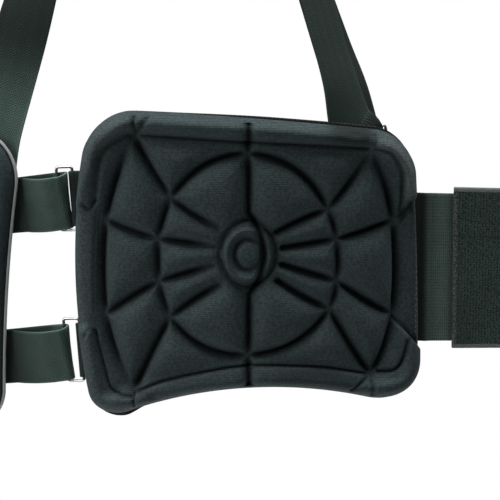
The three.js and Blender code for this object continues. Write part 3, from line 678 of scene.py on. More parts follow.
def outline_sides(corners):
    """The four edges of a rounded panel, each from the middle of one corner to the middle of the next."""
    count = len(corners)
    edges = []
    bends = []
    for index in range(count):
        a, b, c = (corners[(index + step) % count] for step in range(3))
        length = np.linalg.norm(b[:2] - a[:2])
        next_length = np.linalg.norm(c[:2] - b[:2])
        start = a[2] / length
        end = 1 - b[2] / length
        edge = bowed(a[:2], b[:2], a[3], np.linspace(start, end, EDGE_STEPS + 1))
        leave = edge[-1]
        before = bowed(a[:2], b[:2], a[3], [end - TANGENT_STEP / length])[0]
        arrive, after = bowed(
            b[:2], c[:2], b[3], [b[2] / next_length, (b[2] + TANGENT_STEP) / next_length]
        )
        pull = CORNER_PULL * b[2]
        first = leave + unit(leave - before) * pull
        second = arrive + unit(arrive - after) * pull
        t = np.linspace(0, 1, 2 * CORNER_STEPS + 1)[:, None]
        bend = (
            leave * (1 - t) ** 3
            + first * 3 * t * (1 - t) ** 2
            + second * 3 * t**2 * (1 - t)
            + arrive * t**3
        )
        edges.append(edge)
        bends.append(bend)
    return [
        np.vstack([bends[k - 1][CORNER_STEPS:-1], edges[k], bends[k][1 : CORNER_STEPS + 1]])
        for k in range(count)
    ]


def closed_line(sides):
    """The whole outline of a panel as one ring of points."""
    return np.vstack([side[:-1] for side in sides])


def inset_sides(sides, distance):
    """The edges of a panel moved inwards; a negative distance moves them outwards."""
    ring = closed_line(sides)
    along = unit(np.roll(ring, -1, 0) - np.roll(ring, 1, 0))
    moved = ring + np.stack([along[:, 1], -along[:, 0]], -1) * distance
    moved = np.vstack([moved, moved[:1]])
    parts = []
    start = 0
    for side in sides:
        parts.append(moved[start : start + len(side)])
        start += len(side) - 1
    return parts


def gone_along(line):
    """Length from the start of a line to each of its points."""
    return np.concatenate([[0], np.cumsum(np.linalg.norm(np.diff(line, axis=0), axis=1))])


def along_line(line, t):
    """Points at fractions t of a line's length."""
    gone = gone_along(line)
    places = np.asarray(t) * gone[-1]
    return np.stack([np.interp(places, gone, line[:, k]) for k in range(line.shape[1])], -1)


def fill_outline(sides, a, b):
    """Points inside a panel's outline: a from its left edge to its right, b from its foot to its top."""
    top, right, foot, left = sides
    a = np.asarray(a)
    b = np.asarray(b)
    fa = a[:, None]
    fb = b[:, None]
    rows = along_line(foot, 1 - a) * (1 - fb) + along_line(top, a) * fb
    columns = along_line(left, b) * (1 - fa) + along_line(right, 1 - b) * fa
    corners = (
        left[0] * (1 - fa) * (1 - fb)
        + right[-1] * fa * (1 - fb)
        + left[-1] * (1 - fa) * fb
        + right[0] * fa * fb
    )
    return rows + columns - corners


def distance_to(line, places):
    """Distance of each place from a line of points."""
    best = np.full(len(places), np.inf)
    for a, b in zip(line[:-1], line[1:]):
        along = b - a
        t = np.clip((places - a) @ along / max(along @ along, np.finfo(float).tiny), 0, 1)
        away = places - a - t[:, None] * along
        best = np.minimum(best, np.einsum("ij,ij->i", away, away))
    return np.sqrt(best)


def bell(distance, width):
    """Smooth bump that is one at no distance and dies away over its width."""
    return np.exp(-((distance / width) ** 2))


def ease(value, start, end):
    """Smooth step from nought at start to one at end."""
    t = np.clip((value - start) / (end - start), 0, 1)
    return t * t * (3 - 2 * t)


def plateau(value, rise, fall):
    """One between two smooth steps, and nought before the first and after the second."""
    return ease(value, *rise) * (1 - ease(value, *fall))


def blend(a, b, share):
    """The value at a share of the way from a to b."""
    return a + (b - a) * share


def activate(obj):
    """Makes one object the only selected and active one."""
    bpy.ops.object.select_all(action="DESELECT")
    obj.select_set(True)
    bpy.context.view_layer.objects.active = obj


def in_edit_mode(obj, *steps):
    """Runs modelling steps on the whole of one mesh."""
    activate(obj)
    bpy.ops.object.mode_set(mode="EDIT")
    bpy.ops.mesh.select_all(action="SELECT")
    for step in steps:
        step()
    bpy.ops.object.mode_set(mode="OBJECT")


def merge_points():
    """Merges points that lie on each other."""
    bpy.ops.mesh.remove_doubles(threshold=MERGE_DISTANCE)


def face_outwards():
    """Turns all faces of a closed shape outwards."""
    bpy.ops.mesh.normals_make_consistent(inside=False)


def apply_modifier(obj, kind, **values):
    """Adds a modifier and applies it."""
    modifier = obj.modifiers.new(kind.title(), kind)
    for key, value in values.items():
        setattr(modifier, key, value)
    activate(obj)
    bpy.ops.object.modifier_apply(modifier=modifier.name)


def newest(name):
    """The object that was made last, named."""
    obj = bpy.context.active_object
    obj.name = name
    obj.data.name = name
    return obj


def flat_grid(name, columns, rows):
    """A flat grid, with the column and the row of each of its points."""
    bpy.ops.object.select_all(action="DESELECT")
    bpy.ops.mesh.primitive_grid_add(x_subdivisions=columns, y_subdivisions=rows, size=2)
    obj = newest(name)
    co = points_of(obj)
    if len(co) != (columns + 1) * (rows + 1):
        raise RuntimeError(f"{name}: the grid has {len(co)} points")
    column = np.rint((co[:, 0] + 1) / 2 * columns).astype(int)
    row = np.rint((co[:, 1] + 1) / 2 * rows).astype(int)
    return obj, column, row


def points_of(obj):
    """All points of a mesh."""
    co = np.empty(len(obj.data.vertices) * 3)
    obj.data.vertices.foreach_get("co", co)
    return co.reshape(-1, 3)


def move_points(obj, places):
    """Moves all points of a mesh."""
    obj.data.vertices.foreach_set("co", np.ascontiguousarray(places).ravel())
    obj.data.update()


def lay_cloth(obj, places):
    """Gives each point of a mesh its place on the flat cloth, in metres, as the mesh's own UV map."""
    corners = np.empty(len(obj.data.loops), int)
    obj.data.loops.foreach_get("vertex_index", corners)
    layer = obj.data.uv_layers.active or obj.data.uv_layers.new(name="UVMap")
    layer.data.foreach_set("uv", np.ascontiguousarray(places[corners]).ravel())


def paint_points(obj, shades):
    """Stores a shade for each point of a mesh."""
    obj.data.attributes.new(SHADE_NAME, "FLOAT", "POINT").data.foreach_set("value", shades)


def mirrored_copy(obj, name):
    """A copy of a right-hand piece for the left side, with its own mesh."""
    activate(obj)
    bpy.ops.object.duplicate(linked=False)
    copy = newest(name)
    move_points(copy, points_of(copy) * (1, -1, 1))
    in_edit_mode(copy, bpy.ops.mesh.flip_normals)
    return copy


def seat(obj, slot, material, *nodes):
    """Finishes a piece: its material, its smooth faces and the solids that it stands for."""
    obj.data.materials.clear()
    obj.data.materials.append(material)
    activate(obj)
    bpy.ops.object.shade_smooth_by_angle(angle=SMOOTH_ANGLE)
    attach(obj, "root")
    if nodes:
        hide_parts(*nodes)
    return obj


def seat_pair(right, slot, material, name):
    """Finishes a right-hand piece that replaces a node, and its mirrored copy."""
    left = mirrored_copy(right, name + "_left_cloth")
    seat(right, slot, material, name + "_right")
    seat(left, slot, material, name + "_left")
    return right, left


class Finish:
    """One material and short ways to wire its nodes."""

    def __init__(self, name, base, roughness):
        self.material = bpy.data.materials.new(name)
        self.material.use_nodes = True
        self.tree = self.material.node_tree
        self.shader = self.tree.nodes["Principled BSDF"]
        self.shader.inputs["Base Color"].default_value = (*base, 1)
        self.shader.inputs["Roughness"].default_value = roughness
        self.base = base

    def add(self, kind, inputs, **values):
        """Adds a node with its settings and inputs, each a number, a colour or another node's output."""
        node = self.tree.nodes.new(kind)
        for key, value in values.items():
            setattr(node, key, value)
        for key, value in inputs.items():
            if isinstance(value, bpy.types.NodeSocket):
                self.tree.links.new(value, node.inputs[key])
            else:
                node.inputs[key].default_value = value
        return node

    def cloth(self):
        """Place on the flat cloth, across and along."""
        place = self.add("ShaderNodeUVMap", {}, uv_map="UVMap").outputs[0]
        parts = self.add("ShaderNodeSeparateXYZ", {0: place})
        return parts.outputs[0], parts.outputs[1]

    def solid(self):
        """Place in the protector's own frame."""
        return self.add("ShaderNodeTexCoord", {}).outputs["Object"]

    def math(self, operation, a, b=0.0):
        """One step of arithmetic."""
        return self.add("ShaderNodeMath", {0: a, 1: b}, operation=operation).outputs[0]

    def waves(self, place, period):
        """Ribs from minus one to one with a period in metres."""
        return self.math("SINE", self.math("MULTIPLY", place, 2 * math.pi / period))

    def noise(self, scale, detail):
        """Uneven patches, from nought to one."""
        inputs = {"Vector": self.solid(), "Scale": scale, "Detail": detail}
        return self.add("ShaderNodeTexNoise", inputs).outputs[0]

    def between(self, value, low, high, at_low, at_high):
        """Runs a value smoothly from one level to another."""
        inputs = {0: value, 1: low, 2: high, 3: at_low, 4: at_high}
        node = self.add("ShaderNodeMapRange", inputs, interpolation_type="SMOOTHSTEP")
        return node.outputs[0]

    def mix(self, factor, a, b, mode="MIX"):
        """Two colours mixed."""
        inputs = {0: factor}
        node = self.add("ShaderNodeMix", inputs, data_type="RGBA", blend_type=mode)
        for socket, value in ((node.inputs[6], a), (node.inputs[7], b)):
            if isinstance(value, bpy.types.NodeSocket):
                self.tree.links.new(value, socket)
            else:
                socket.default_value = (*value, 1)
        return node.outputs[2]

    def times(self, factor):
        """The base colour, so many times as bright."""
        return tuple(min(1, c * factor) for c in self.base)

    def tinted(self, share, low, high):
        """The base colour made darker or lighter, from low to high times as bright."""
        return self.mix(share, self.times(low), self.times(high))

    def scaled(self, value, factor, offset):
        """A value times a factor, plus an offset."""
        return self.math("ADD", self.math("MULTIPLY", value, factor), offset)

    def worn(self, height, scale, detail, low, high):
        """A height that wear makes uneven, from low to high times itself."""
        return self.math("MULTIPLY", height, self.between(self.noise(scale, detail), 0.2, 0.8, low, high))

    def selvages(self, across, width, inner, outer, level):
        """Nought over a cloth, and a level along both woven edges, which start and end at these insets."""
        half = width / 2
        rim = self.math("ABSOLUTE", self.math("SUBTRACT", across, half))
        return self.between(rim, half - inner, half - outer, 0.0, level)

    def painted(self):
        """Painted shade stored at the points of the mesh; below nought it is painted highlight."""
        return self.add("ShaderNodeAttribute", {}, attribute_name=SHADE_NAME).outputs["Fac"]

    def join(self, name, output):
        """Leads an output into the shader."""
        self.tree.links.new(output, self.shader.inputs[name])

    def raise_threads(self, height, depth, strength):
        """Bump from a height of nought to one."""
        inputs = {"Height": height, "Distance": depth, "Strength": strength}
        self.join("Normal", self.add("ShaderNodeBump", inputs).outputs[0])

    def soften(self, amount, roughness, tint):
        """Short fibres that catch light at the edges."""
        self.shader.inputs["Sheen Weight"].default_value = amount
        self.shader.inputs["Sheen Roughness"].default_value = roughness
        self.shader.inputs["Sheen Tint"].default_value = (*tint, 1)
        self.shader.inputs["Specular IOR Level"].default_value = CLOTH_SPECULAR


def finish_named(name, make):
    """A material that is made once and then shared."""
    return bpy.data.materials.get(name) or make(name)


def knit_finish(name):
    """Charcoal knit over foam: fine ribs, soft mottling, painted shade in the groove bottoms and painted
    highlight on the rolls.
    """
    knit = Finish(name, settings("finishes").knit, 0.72)
    across, along = knit.cloth()
    wales = knit.scaled(knit.waves(across, KNIT_WALES), 0.5, 0.75)
    loops = knit.math("MULTIPLY", knit.waves(along, KNIT_RIBS), wales)
    height = knit.scaled(loops, 0.4, 0.5)
    knit.raise_threads(height, 0.25 * MM, 0.5)
    mottled = knit.tinted(knit.between(knit.noise(560, 2), 0.32, 0.68, 0.0, 1.0), 0.78, 1.24)
    threads = knit.mix(height, (0.70, 0.70, 0.70), (1.1, 1.1, 1.1))
    woven = knit.mix(1.0, mottled, threads, "MULTIPLY")
    # Painted shade stored at the points darkens the knit above nought; below nought it is a painted
    # highlight that pales it.
    pale = knit.mix(1.0, woven, PAINTED_HIGHLIGHT_TINT, "MULTIPLY")
    pressed = knit.painted()
    highlight = knit.mix(knit.math("MULTIPLY", pressed, -1.0), woven, pale)
    knit.join("Base Color", knit.mix(pressed, highlight, knit.times(0.07)))
    knit.soften(0.02, 0.4, (0.75, 0.85, 0.9))
    return knit.material


def lining_finish(name):
    """Dark open mesh with rows of small holes."""
    lining = Finish(name, settings("finishes").lining, 0.85)
    across, along = lining.cloth()
    holes = lining.math("MULTIPLY", lining.waves(across, LINING_COLUMNS), lining.waves(along, LINING_ROWS))
    height = lining.between(holes, 0.05, 0.6, 1.0, 0.0)
    lining.raise_threads(height, 0.6 * MM, 0.7)
    shade = lining.math("MULTIPLY", height, lining.scaled(lining.noise(60, 3), 0.5, 0.75))
    lining.join("Base Color", lining.tinted(shade, 0.2, 1.6))
    lining.soften(0.02, 0.5, (0.8, 0.85, 0.8))
    return lining.material


def webbing_finish(name):
    """Olive-black webbing in a herringbone weave with firm edges, darkened by painted shade stored at its
    points.
    """
    width = settings("webbing").width
    webbing = Finish(name, settings("finishes").webbing, 0.58)
    across, along = webbing.cloth()
    zigzag = webbing.math("PINGPONG", across, width / HERRINGBONE_ROWS)
    twill = webbing.waves(webbing.math("ADD", along, zigzag), TWILL_PITCH)
    warp = webbing.math("MULTIPLY", webbing.waves(across, WARP_PITCH), 0.12)
    height = webbing.math("ADD", webbing.scaled(twill, 0.28, 0.5), warp)
    webbing.raise_threads(height, 0.4 * MM, 0.6)
    body = webbing.tinted(webbing.worn(height, 90, 3, 0.75, 1.1), 0.4, 1.6)
    edge = webbing.selvages(across, width, 1.8 * MM, 0.5 * MM, 1.0)
    cloth = webbing.mix(edge, body, webbing.times(1.5))
    # Painted shade stored at the points darkens the webbing.
    webbing.join("Base Color", webbing.mix(webbing.painted(), cloth, webbing.times(0.15)))
    webbing.soften(0.05, 0.4, (0.75, 0.95, 0.85))
    return webbing.material


def elastic_finish(name):
    """Grey-green elastic with fine upright ribs, faint rubber lines along it, and a painted shadow stored
    at its points.
    """
    elastic = Finish(name, settings("finishes").elastic, 0.7)
    across, along = elastic.cloth()
    ribs = elastic.math("MULTIPLY", elastic.waves(along, ELASTIC_RIBS), 0.16)
    cores = elastic.math("MULTIPLY", elastic.waves(across, ELASTIC_CORES), 0.10)
    height = elastic.math("ADD", elastic.math("ADD", ribs, elastic.noise(1100, 2)), cores)
    elastic.raise_threads(height, 0.35 * MM, 0.6)
    cloth = elastic.tinted(elastic.worn(height, 80, 3, 0.8, 1.15), 0.4, 1.9)
    # The painted shadow stored at the points darkens the elastic.
    elastic.join("Base Color", elastic.mix(elastic.painted(), cloth, elastic.times(0.08)))
    elastic.soften(0.04, 0.5, (0.85, 0.95, 0.88))
    return elastic.material


def patch_finish(name):
    """Hook-and-loop tape: rows of tiny loops, a sewn join and pale woven edges."""
    belt = settings("belt")
    patch = Finish(name, settings("finishes").patch, 0.85)
    across, along = patch.cloth()
    rows = patch.math("MULTIPLY", patch.waves(along, LOOP_ROWS), 0.16)
    columns = patch.math("MULTIPLY", patch.waves(across, LOOP_COLUMNS), 0.10)
    fuzz = patch.between(patch.noise(1000, 1), 0.36, 0.64, 0.1, 0.9)
    fuzz = patch.math("ADD", patch.math("ADD", rows, columns), fuzz)
    patch.raise_threads(fuzz, 0.5 * MM, 0.6)
    seam = patch.math("ABSOLUTE", patch.math("SUBTRACT", across, belt.patch_join))
    sewn = patch.scaled(patch.between(seam, 0.5 * MM, 1.3 * MM, 0.0, 1.0), 0.4, 0.6)
    loops = patch.math("MULTIPLY", patch.worn(fuzz, 60, 4, 0.8, 1.2), sewn)
    edge = patch.selvages(across, belt.patch_height, 3.6 * MM, 2.2 * MM, 0.9)
    end = patch.between(along, PATCH_START + 0.8 * MM, PATCH_START + 3 * MM, 0.8, 0.0)
    edge = patch.math("MAXIMUM", edge, patch.math("MULTIPLY", end, fuzz))
    pale = settings("finishes").selvage
    patch.join("Base Color", patch.mix(edge, patch.tinted(loops, 0.2, 2.0), pale))
    patch.soften(0.08, 0.6, (0.8, 0.95, 0.88))
    return patch.material


def piping_finish(name):
    """Pale grey cord with a twisted cover."""
    piping = Finish(name, settings("finishes").piping, 0.6)
    across, along = piping.cloth()
    twist = piping.waves(piping.math("ADD", across, along), PIPING_TWIST)
    height = piping.scaled(twist, 0.5, 0.5)
    piping.raise_threads(height, 0.2 * MM, 0.5)
    piping.join("Base Color", piping.tinted(height, 0.75, 1.15))
    return piping.material


def wire_finish(name):
    """Bright plated wire with faint drawing marks."""
    wire = Finish(name, settings("finishes").wire, 0.16)
    wire.shader.inputs["Metallic"].default_value = 1
    marks = wire.noise(1500, 3)
    wire.raise_threads(marks, 0.03 * MM, 0.3)
    wire.join("Roughness", wire.between(marks, 0.3, 0.7, 0.12, 0.24))
    wire.join("Base Color", wire.tinted(wire.noise(120, 2), 0.9, 1.1))
    return wire.material


def thread_finish(name):
    """Twisted thread."""
    thread = Finish(name, settings("finishes").thread, 0.6)
    twist = thread.noise(1800, 2)
    thread.raise_threads(twist, 0.1 * MM, 0.4)
    thread.join("Base Color", thread.tinted(twist, 0.7, 1.3))
    return thread.material


def floor_finish(name):
    """Pale matt studio floor."""
    floor = Finish(name, settings("finishes").floor, 0.9)
    floor.join("Base Color", floor.tinted(floor.noise(2, 2), 0.99, 1.01))
    return floor.material


def pad_mesh(name, corners, cells, profile, place, face):
    """A closed pad: one grid whose middle is the face, and whose outer rows are its edge and its rear.

    profile gives inset and height from the face's border down the edge, place puts flat points on the
    body, and face gives heights and shades of the face.
    """
    sides = outline_sides(corners)
    columns, rows = cells
    rim = len(profile) - 1
    extra = rim + len(REAR_RINGS)
    obj, column, row = flat_grid(name, columns + 2 * extra, rows + 2 * extra)
    a = np.clip(column - extra, 0, columns)
    b = np.clip(row - extra, 0, rows)
    ring = np.maximum(np.abs(column - extra - a), np.abs(row - extra - b))
    flat = np.empty((len(ring), 2))
    height = np.empty(len(ring))
    shade = np.zeros(len(ring))
    for step, (inset, rise) in enumerate(profile):
        here = ring == step
        flat[here] = fill_outline(inset_sides(sides, inset), a[here] / columns, b[here] / rows)
        height[here] = rise
    rear_sides = inset_sides(sides, profile[-1][0])
    for step, share in enumerate(REAR_RINGS):
        here = ring == rim + 1 + step
        flat[here] = share * fill_outline(rear_sides, a[here] / columns, b[here] / rows)
        height[here] = profile[-1][1]
    seen = ring <= rim
    rise, shade[seen] = face(flat[seen], closed_line(sides))
    height[ring == 0] = rise[ring[seen] == 0]
    lay_cloth(obj, flat)
    paint_points(obj, shade)
    move_points(obj, place(flat[:, 0], flat[:, 1], height))
    in_edit_mode(obj, merge_points, face_outwards)
    return obj


def edge_profile(base):
    """Inset and height down a pad's rounded edge, from its face over its skirt to its rear."""
    pads = settings("pads")
    foot = base + EDGE_FOOT
    rows = []
    for inset in np.linspace(ROUND_START, 0, ROUND_ROWS):
        rows.append((inset, foot + pads.edge_rise * math.sqrt(1 - (1 - inset / pads.edge_round) ** 2)))
    rows += [(inset, foot - drop) for inset, drop in EDGE_SKIRT]
    return [*rows, (REAR_INSET, base)]


def crowned(edge, base, crown, start, reach):
    """Heights of a plain pad: a rounded edge, and a crown that rises from an inset over a reach."""
    pads = settings("pads")
    rounding = np.clip(1 - edge / pads.edge_round, 0, 1)
    swell = np.clip((edge - start) / reach, 0, 1)
    return base + EDGE_FOOT + pads.edge_rise * np.sqrt(1 - rounding**2) + crown * swell * (2 - swell)


def inset_of(places, outline):
    """Distance of each place from a closed outline."""
    return distance_to(np.vstack([outline, outline[:1]]), places)


def web_lines():
    """Grooves of the web as lines of points."""
    lines = []
    for start, end, bow in DEEP_GROOVES:
        a = np.array(WEB_POINTS[start]) * MM
        b = np.array(WEB_POINTS[end]) * MM
        lines.append(bowed(a, b, bow * MM, np.linspace(0, 1, GROOVE_POINTS)))
    return lines


def slanted(u, line):
    """Height of a slanted line at u, from one of its points and its slope."""
    at, height, slope = line
    return height * MM + slope * (u - at * MM)


def sewn_flange(u, v):
    """Where the front border is pressed flat for the belt, between the ends of its roll: nought to one."""
    below_upper = ease(slanted(u, FLANGE_UPPER) - v, *FLANGE_ENDS)
    above_lower = ease(v - slanted(u, FLANGE_LOWER), *FLANGE_ENDS)
    return ease(u, *FLANGE_START) * below_upper * above_lower


def on_pad(u, v, out):
    """Points on the right side pad, whose flange lies a little inside the rest of its edge."""
    tuck = FLANGE_TUCK * sewn_flange(u, v) * ease(u, *FLANGE_TUCK_ZONE)
    return on_side(u - tuck, v, out)


class SideRelief:
    """Heights and painted shades of a side pad's face at flat places on it."""

    def __init__(self, places, outline):
        self.places = places
        self.u, self.v = places.T
        self.edge = inset_of(places, outline)
        self.web = [distance_to(line, places) for line in web_lines()]
        self.lines = [distance_to(spline(row[-1], LINE_STEPS) * MM, places) for row in PRESSED_LINES]
        self.grooved = ease(self.edge, *GROOVE_FADE)
        self.flange = sewn_flange(self.u, self.v)
        self.radius = np.hypot(self.u / HUB_NARROW, self.v)
        self.hub = 1 - ease(self.radius, HUB_MOAT - HUB_STEP, HUB_MOAT + HUB_STEP)
        self.height = crowned(self.edge, SIDE_PAD_BASE, settings("pads").crown, *SIDE_CROWN)
        self.shade = np.zeros(len(places))
        self.roll_border()
        self.puff_panels()
        self.press_web()
        self.press_lines()
        self.mould_hub()
        self.settle_foam()
        self.paint_highlight()

    def darken(self, tone):
        """Paints shade on the face where a tone is darker than the painted shade so far."""
        self.shade = np.maximum(self.shade, tone)

    def away_from(self, name):
        """Distance from a point of the web."""
        u, v = WEB_POINTS[name]
        return np.hypot(self.u - u * MM, self.v - v * MM)

    def roll_border(self):
        """Raises the border's roll: full at the corners, low behind and below, and gone at the flange."""
        behind = ease(-self.u, *BEHIND_ZONE) * plateau(self.v, *BEHIND_ENDS)
        below = ease(-self.v, *BELOW_ZONE) * plateau(self.u, *BELOW_ENDS)
        corner = ease(np.abs(self.u), *CORNER_ZONE[0]) * ease(np.abs(self.v), *CORNER_ZONE[1])
        crest = blend(ROLL_CREST, CORNER_CREST, corner)
        slope = np.where(self.edge < crest, crest, blend(ROLL_INNER, CORNER_INNER, corner))
        roll = settings("pads").bolster * bell(self.edge - crest, slope) * (1 + CORNER_GAIN * corner)
        self.height += roll * (1 - BEHIND_LOSS * behind) * (1 - BELOW_LOSS * below) * (1 - self.flange)

    def puff_panels(self):
        """Puffs the panels between the web, the border's long lines and the hub."""
        pads = settings("pads")
        bounds = (*self.web, *self.lines[: len(LONG_LINES)], self.radius - HUB_MOAT)
        puffed = np.prod([1 - bell(line, pads.puff_reach) for line in bounds], axis=0)
        inside = ease(self.edge, *PANEL_START) * (1 - self.hub)
        self.height += (pads.puff * puffed - PANEL_SINK) * inside

    def bridged(self):
        """Where the grooves meet in a knot and their bottoms are bridged: nought to one."""
        bridge = np.zeros(len(self.places))
        for name in WEB_POINTS:
            if not name.endswith(NOT_KNOTS):
                reach = CORNER_REACH if name.endswith("_corner") else KNOT_REACH
                bridge = np.maximum(bridge, bell(self.away_from(name), reach))
        return bridge

    def firmness(self, start, end):
        """How firmly a groove is pressed: the rear spokes and the soft grooves fade at one end."""
        if end.startswith("back") and end.endswith("_hub"):
            return blend(SOFT_PRESS, 1, ease(np.hypot(self.u, self.v), *SPOKE_REACH))
        if (start, end) in SOFT_GROOVES:
            return blend(SOFT_PRESS, 1, ease(self.away_from(SOFT_GROOVES[start, end]), *SOFT_REACH))
        return 1

    def press_web(self):
        """Presses the web: narrow creases with painted shade at their bottoms, between soft shoulders."""
        pads = settings("pads")
        crease = np.zeros(len(self.places))
        shoulder = np.zeros(len(self.places))
        for line, (start, end, _) in zip(self.web, DEEP_GROOVES):
            firm = self.firmness(start, end)
            crease = np.maximum(crease, firm * bell(line, pads.crease_width))
            shoulder = np.maximum(shoulder, firm * bell(line, pads.shoulder_width))
        crease *= (1 - KNOT_BRIDGE * self.bridged()) * self.grooved
        shoulder *= (1 - HUB_SHOULDER_LOSS * self.hub) * self.grooved
        self.height -= pads.crease_depth * crease + pads.shoulder_depth * shoulder
        self.darken(GROOVE_PAINTED_SHADE * crease)

    def press_lines(self):
        """Presses the shallow lines of the border with painted shade in them, and paints soft shadows on
        its roll.
        """
        for line, (depth, width, tone, _) in zip(self.lines, PRESSED_LINES):
            self.height -= depth * MM * bell(line, width * MM) * self.grooved
            self.darken(tone * bell(line, LINE_SHADE * width * MM) * self.grooved)
        for tone, reach, points in PAINTED_SHADOWS:
            away = distance_to(np.array(points) * MM, self.places)
            self.darken(tone * bell(away, reach * MM))

    def mould_hub(self):
        """Moulds the hub: a crowned disc, a raised ring and a moat, with painted shade in its grooves and
        dark painted arcs behind it.
        """
        for radius, rise, width in HUB_RELIEF:
            self.height += rise * bell(self.radius - radius, width)
        self.height += HUB_CROWN * (1 - np.clip(self.radius / HUB_DISC, 0, 1) ** 2)
        behind = ease(-self.u / HUB_NARROW / np.maximum(self.radius, MM), *HUB_BEHIND)
        for radius, front_tone, front_width, rear_tone, rear_width in HUB_SHADES:
            width = blend(front_width, rear_width, behind)
            self.darken(blend(front_tone, rear_tone, behind) * bell(self.radius - radius, width))
        arc = behind * plateau(np.abs(self.v), *ARC_ENDS)
        self.darken(ARC_PAINTED_SHADE * arc * bell(self.radius - HUB_ARC, ARC_WIDTH))

    def settle_foam(self):
        """Presses the flange flat and gives the foam its faint ripples."""
        self.height -= FLANGE_DEPTH * self.flange * ease(self.edge, *FLANGE_INSET)
        wander = np.sin(self.u / RIPPLE_ALONG + 2 * np.sin(self.v / RIPPLE_WANDER))
        self.height += RIPPLE_RISE * wander * np.sin(self.v / RIPPLE_UP)

    def paint_highlight(self):
        """Paints highlights on the roll, as a shade below nought, where it isn't painted dark."""
        front = ease(self.u, *PAINTED_HIGHLIGHT_FRONT[0]) * ease(self.v, *PAINTED_HIGHLIGHT_FRONT[1])
        back = ease(-self.u, *PAINTED_HIGHLIGHT_BACK) * blend(*PAINTED_HIGHLIGHT_BACK_SHARES, ease(self.v, *PAINTED_HIGHLIGHT_BACK_TOP))
        highlight = (front + back) * bell(self.edge - PAINTED_HIGHLIGHT_INSET, PAINTED_HIGHLIGHT_WIDTH)
        self.shade = np.clip(self.shade - PAINTED_HIGHLIGHT_TONE * highlight * (1 - self.shade), -1, 1)


def side_face(places, outline):
    """Heights of a side pad's face above the body line, and its painted shade: dark above nought, painted
    highlight below.
    """
    relief = SideRelief(places, outline)
    return relief.height, relief.shade


def back_face(places, outline):
    """Heights of the plain back pad's face above the body line, with no shade."""
    crown = settings("pads").crown + BACK_CROWN_EXTRA
    return crowned(inset_of(places, outline), 0, crown, *BACK_CROWN), np.zeros(len(places))


def band_mesh(name, places, across):
    """A strap with rounded edges along a line of places, with the direction of its width at each."""
    sizes = settings("webbing")
    along = unit(np.gradient(places, axis=0))
    side = unit(across - along * np.einsum("ij,ij->i", across, along)[:, None])
    columns = max(1, round(sizes.width / STRAP_COLUMN))
    obj, column, row = flat_grid(name, columns, len(places) - 1)
    reach = (column / columns - 0.5) * sizes.width
    move_points(obj, places[row] + side[row] * reach[:, None])
    lay_cloth(obj, np.stack([reach + sizes.width / 2, gone_along(places)[row]], -1))
    thicken(obj, sizes.thickness)
    return obj


def thicken(obj, thickness):
    """Gives a flat band its thickness and rounds its edges."""
    apply_modifier(obj, "SOLIDIFY", thickness=thickness, offset=0)
    in_edit_mode(obj, face_outwards)
    apply_modifier(
        obj,
        "BEVEL",
        width=BAND_ROUNDING * thickness,
        segments=2,
        limit_method="ANGLE",
        angle_limit=60 * DEGREE,
    )


def shade_band(obj, tone):
    """Paints shade on a strap by how far along it each point is."""
    corners = np.empty(len(obj.data.loops), int)
    obj.data.loops.foreach_get("vertex_index", corners)
    cloth = np.empty(2 * len(corners))
    obj.data.uv_layers.active.data.foreach_get("uv", cloth)
    along = np.zeros(len(obj.data.vertices))
    along[corners] = cloth[1::2]
    paint_points(obj, np.clip(tone(along, along.max()), 0, 1))


def even_line(line, step):
    """A line with its points evenly spaced."""
    length = gone_along(line)[-1]
    return along_line(line, np.linspace(0, 1, max(2, round(length / step)) + 1))


def spline(points, steps):
    """Smooth flat line through points, with its ends clamped."""
    points = np.array(points)
    padded = np.vstack([points[:1], points, points[-1:]])
    line = []
    for k in range(len(points) - 1):
        p0, p1, p2, p3 = padded[k : k + 4]
        t = np.linspace(0, 1, steps, endpoint=False)[:, None]
        line.append(
            p1
            + (p2 - p0) * t / 2
            + (p0 - 2.5 * p1 + 2 * p2 - 0.5 * p3) * t**2
            + (-0.5 * p0 + 1.5 * p1 - 1.5 * p2 + 0.5 * p3) * t**3
        )
    return np.vstack([*line, points[-1:]])


def half_turn(centre, radius, opening):
    """Half turn of a strap round a bar, from its inner layer to its outer."""
    angle = np.linspace(-math.pi / 2, -math.pi / 2 + opening * math.pi, TURN_STEPS + 1)
    return np.array(centre) + radius * np.stack([np.cos(angle), np.sin(angle)], -1)


def on_adjuster(which, along, across, out):
    """Places in the layout of one adjuster, measured from its ring's front bar."""
    height, set_back, _ = ADJUSTERS[which]
    turned = along * math.cos(ADJUSTER_TILT) - across * math.sin(ADJUSTER_TILT)
    raised = along * math.sin(ADJUSTER_TILT) + across * math.cos(ADJUSTER_TILT)
    return wrap(SIDE_BACK_EDGE - set_back + turned, out, height + raised)


def adjuster_band(name, which, path, skew=0, lean=0, sag=0):
    """A strap or tab along a flat path in one adjuster's layout. Where it is slack, it leans and sags."""
    path = even_line(path, settings("webbing").step)
    along, out = path.T
    slack = plateau(np.linspace(0, 1, len(path)), *SLACK_SHARES)
    places = on_adjuster(which, along, skew * along - sag * slack, out)
    reach = TANGENT_STEP * np.cos(lean * slack)
    stand = TANGENT_STEP * np.sin(lean * slack)
    upper = on_adjuster(which, along, reach, out + stand)
    lower = on_adjuster(which, along, -reach, out - stand)
    return band_mesh(name, places, upper - lower)


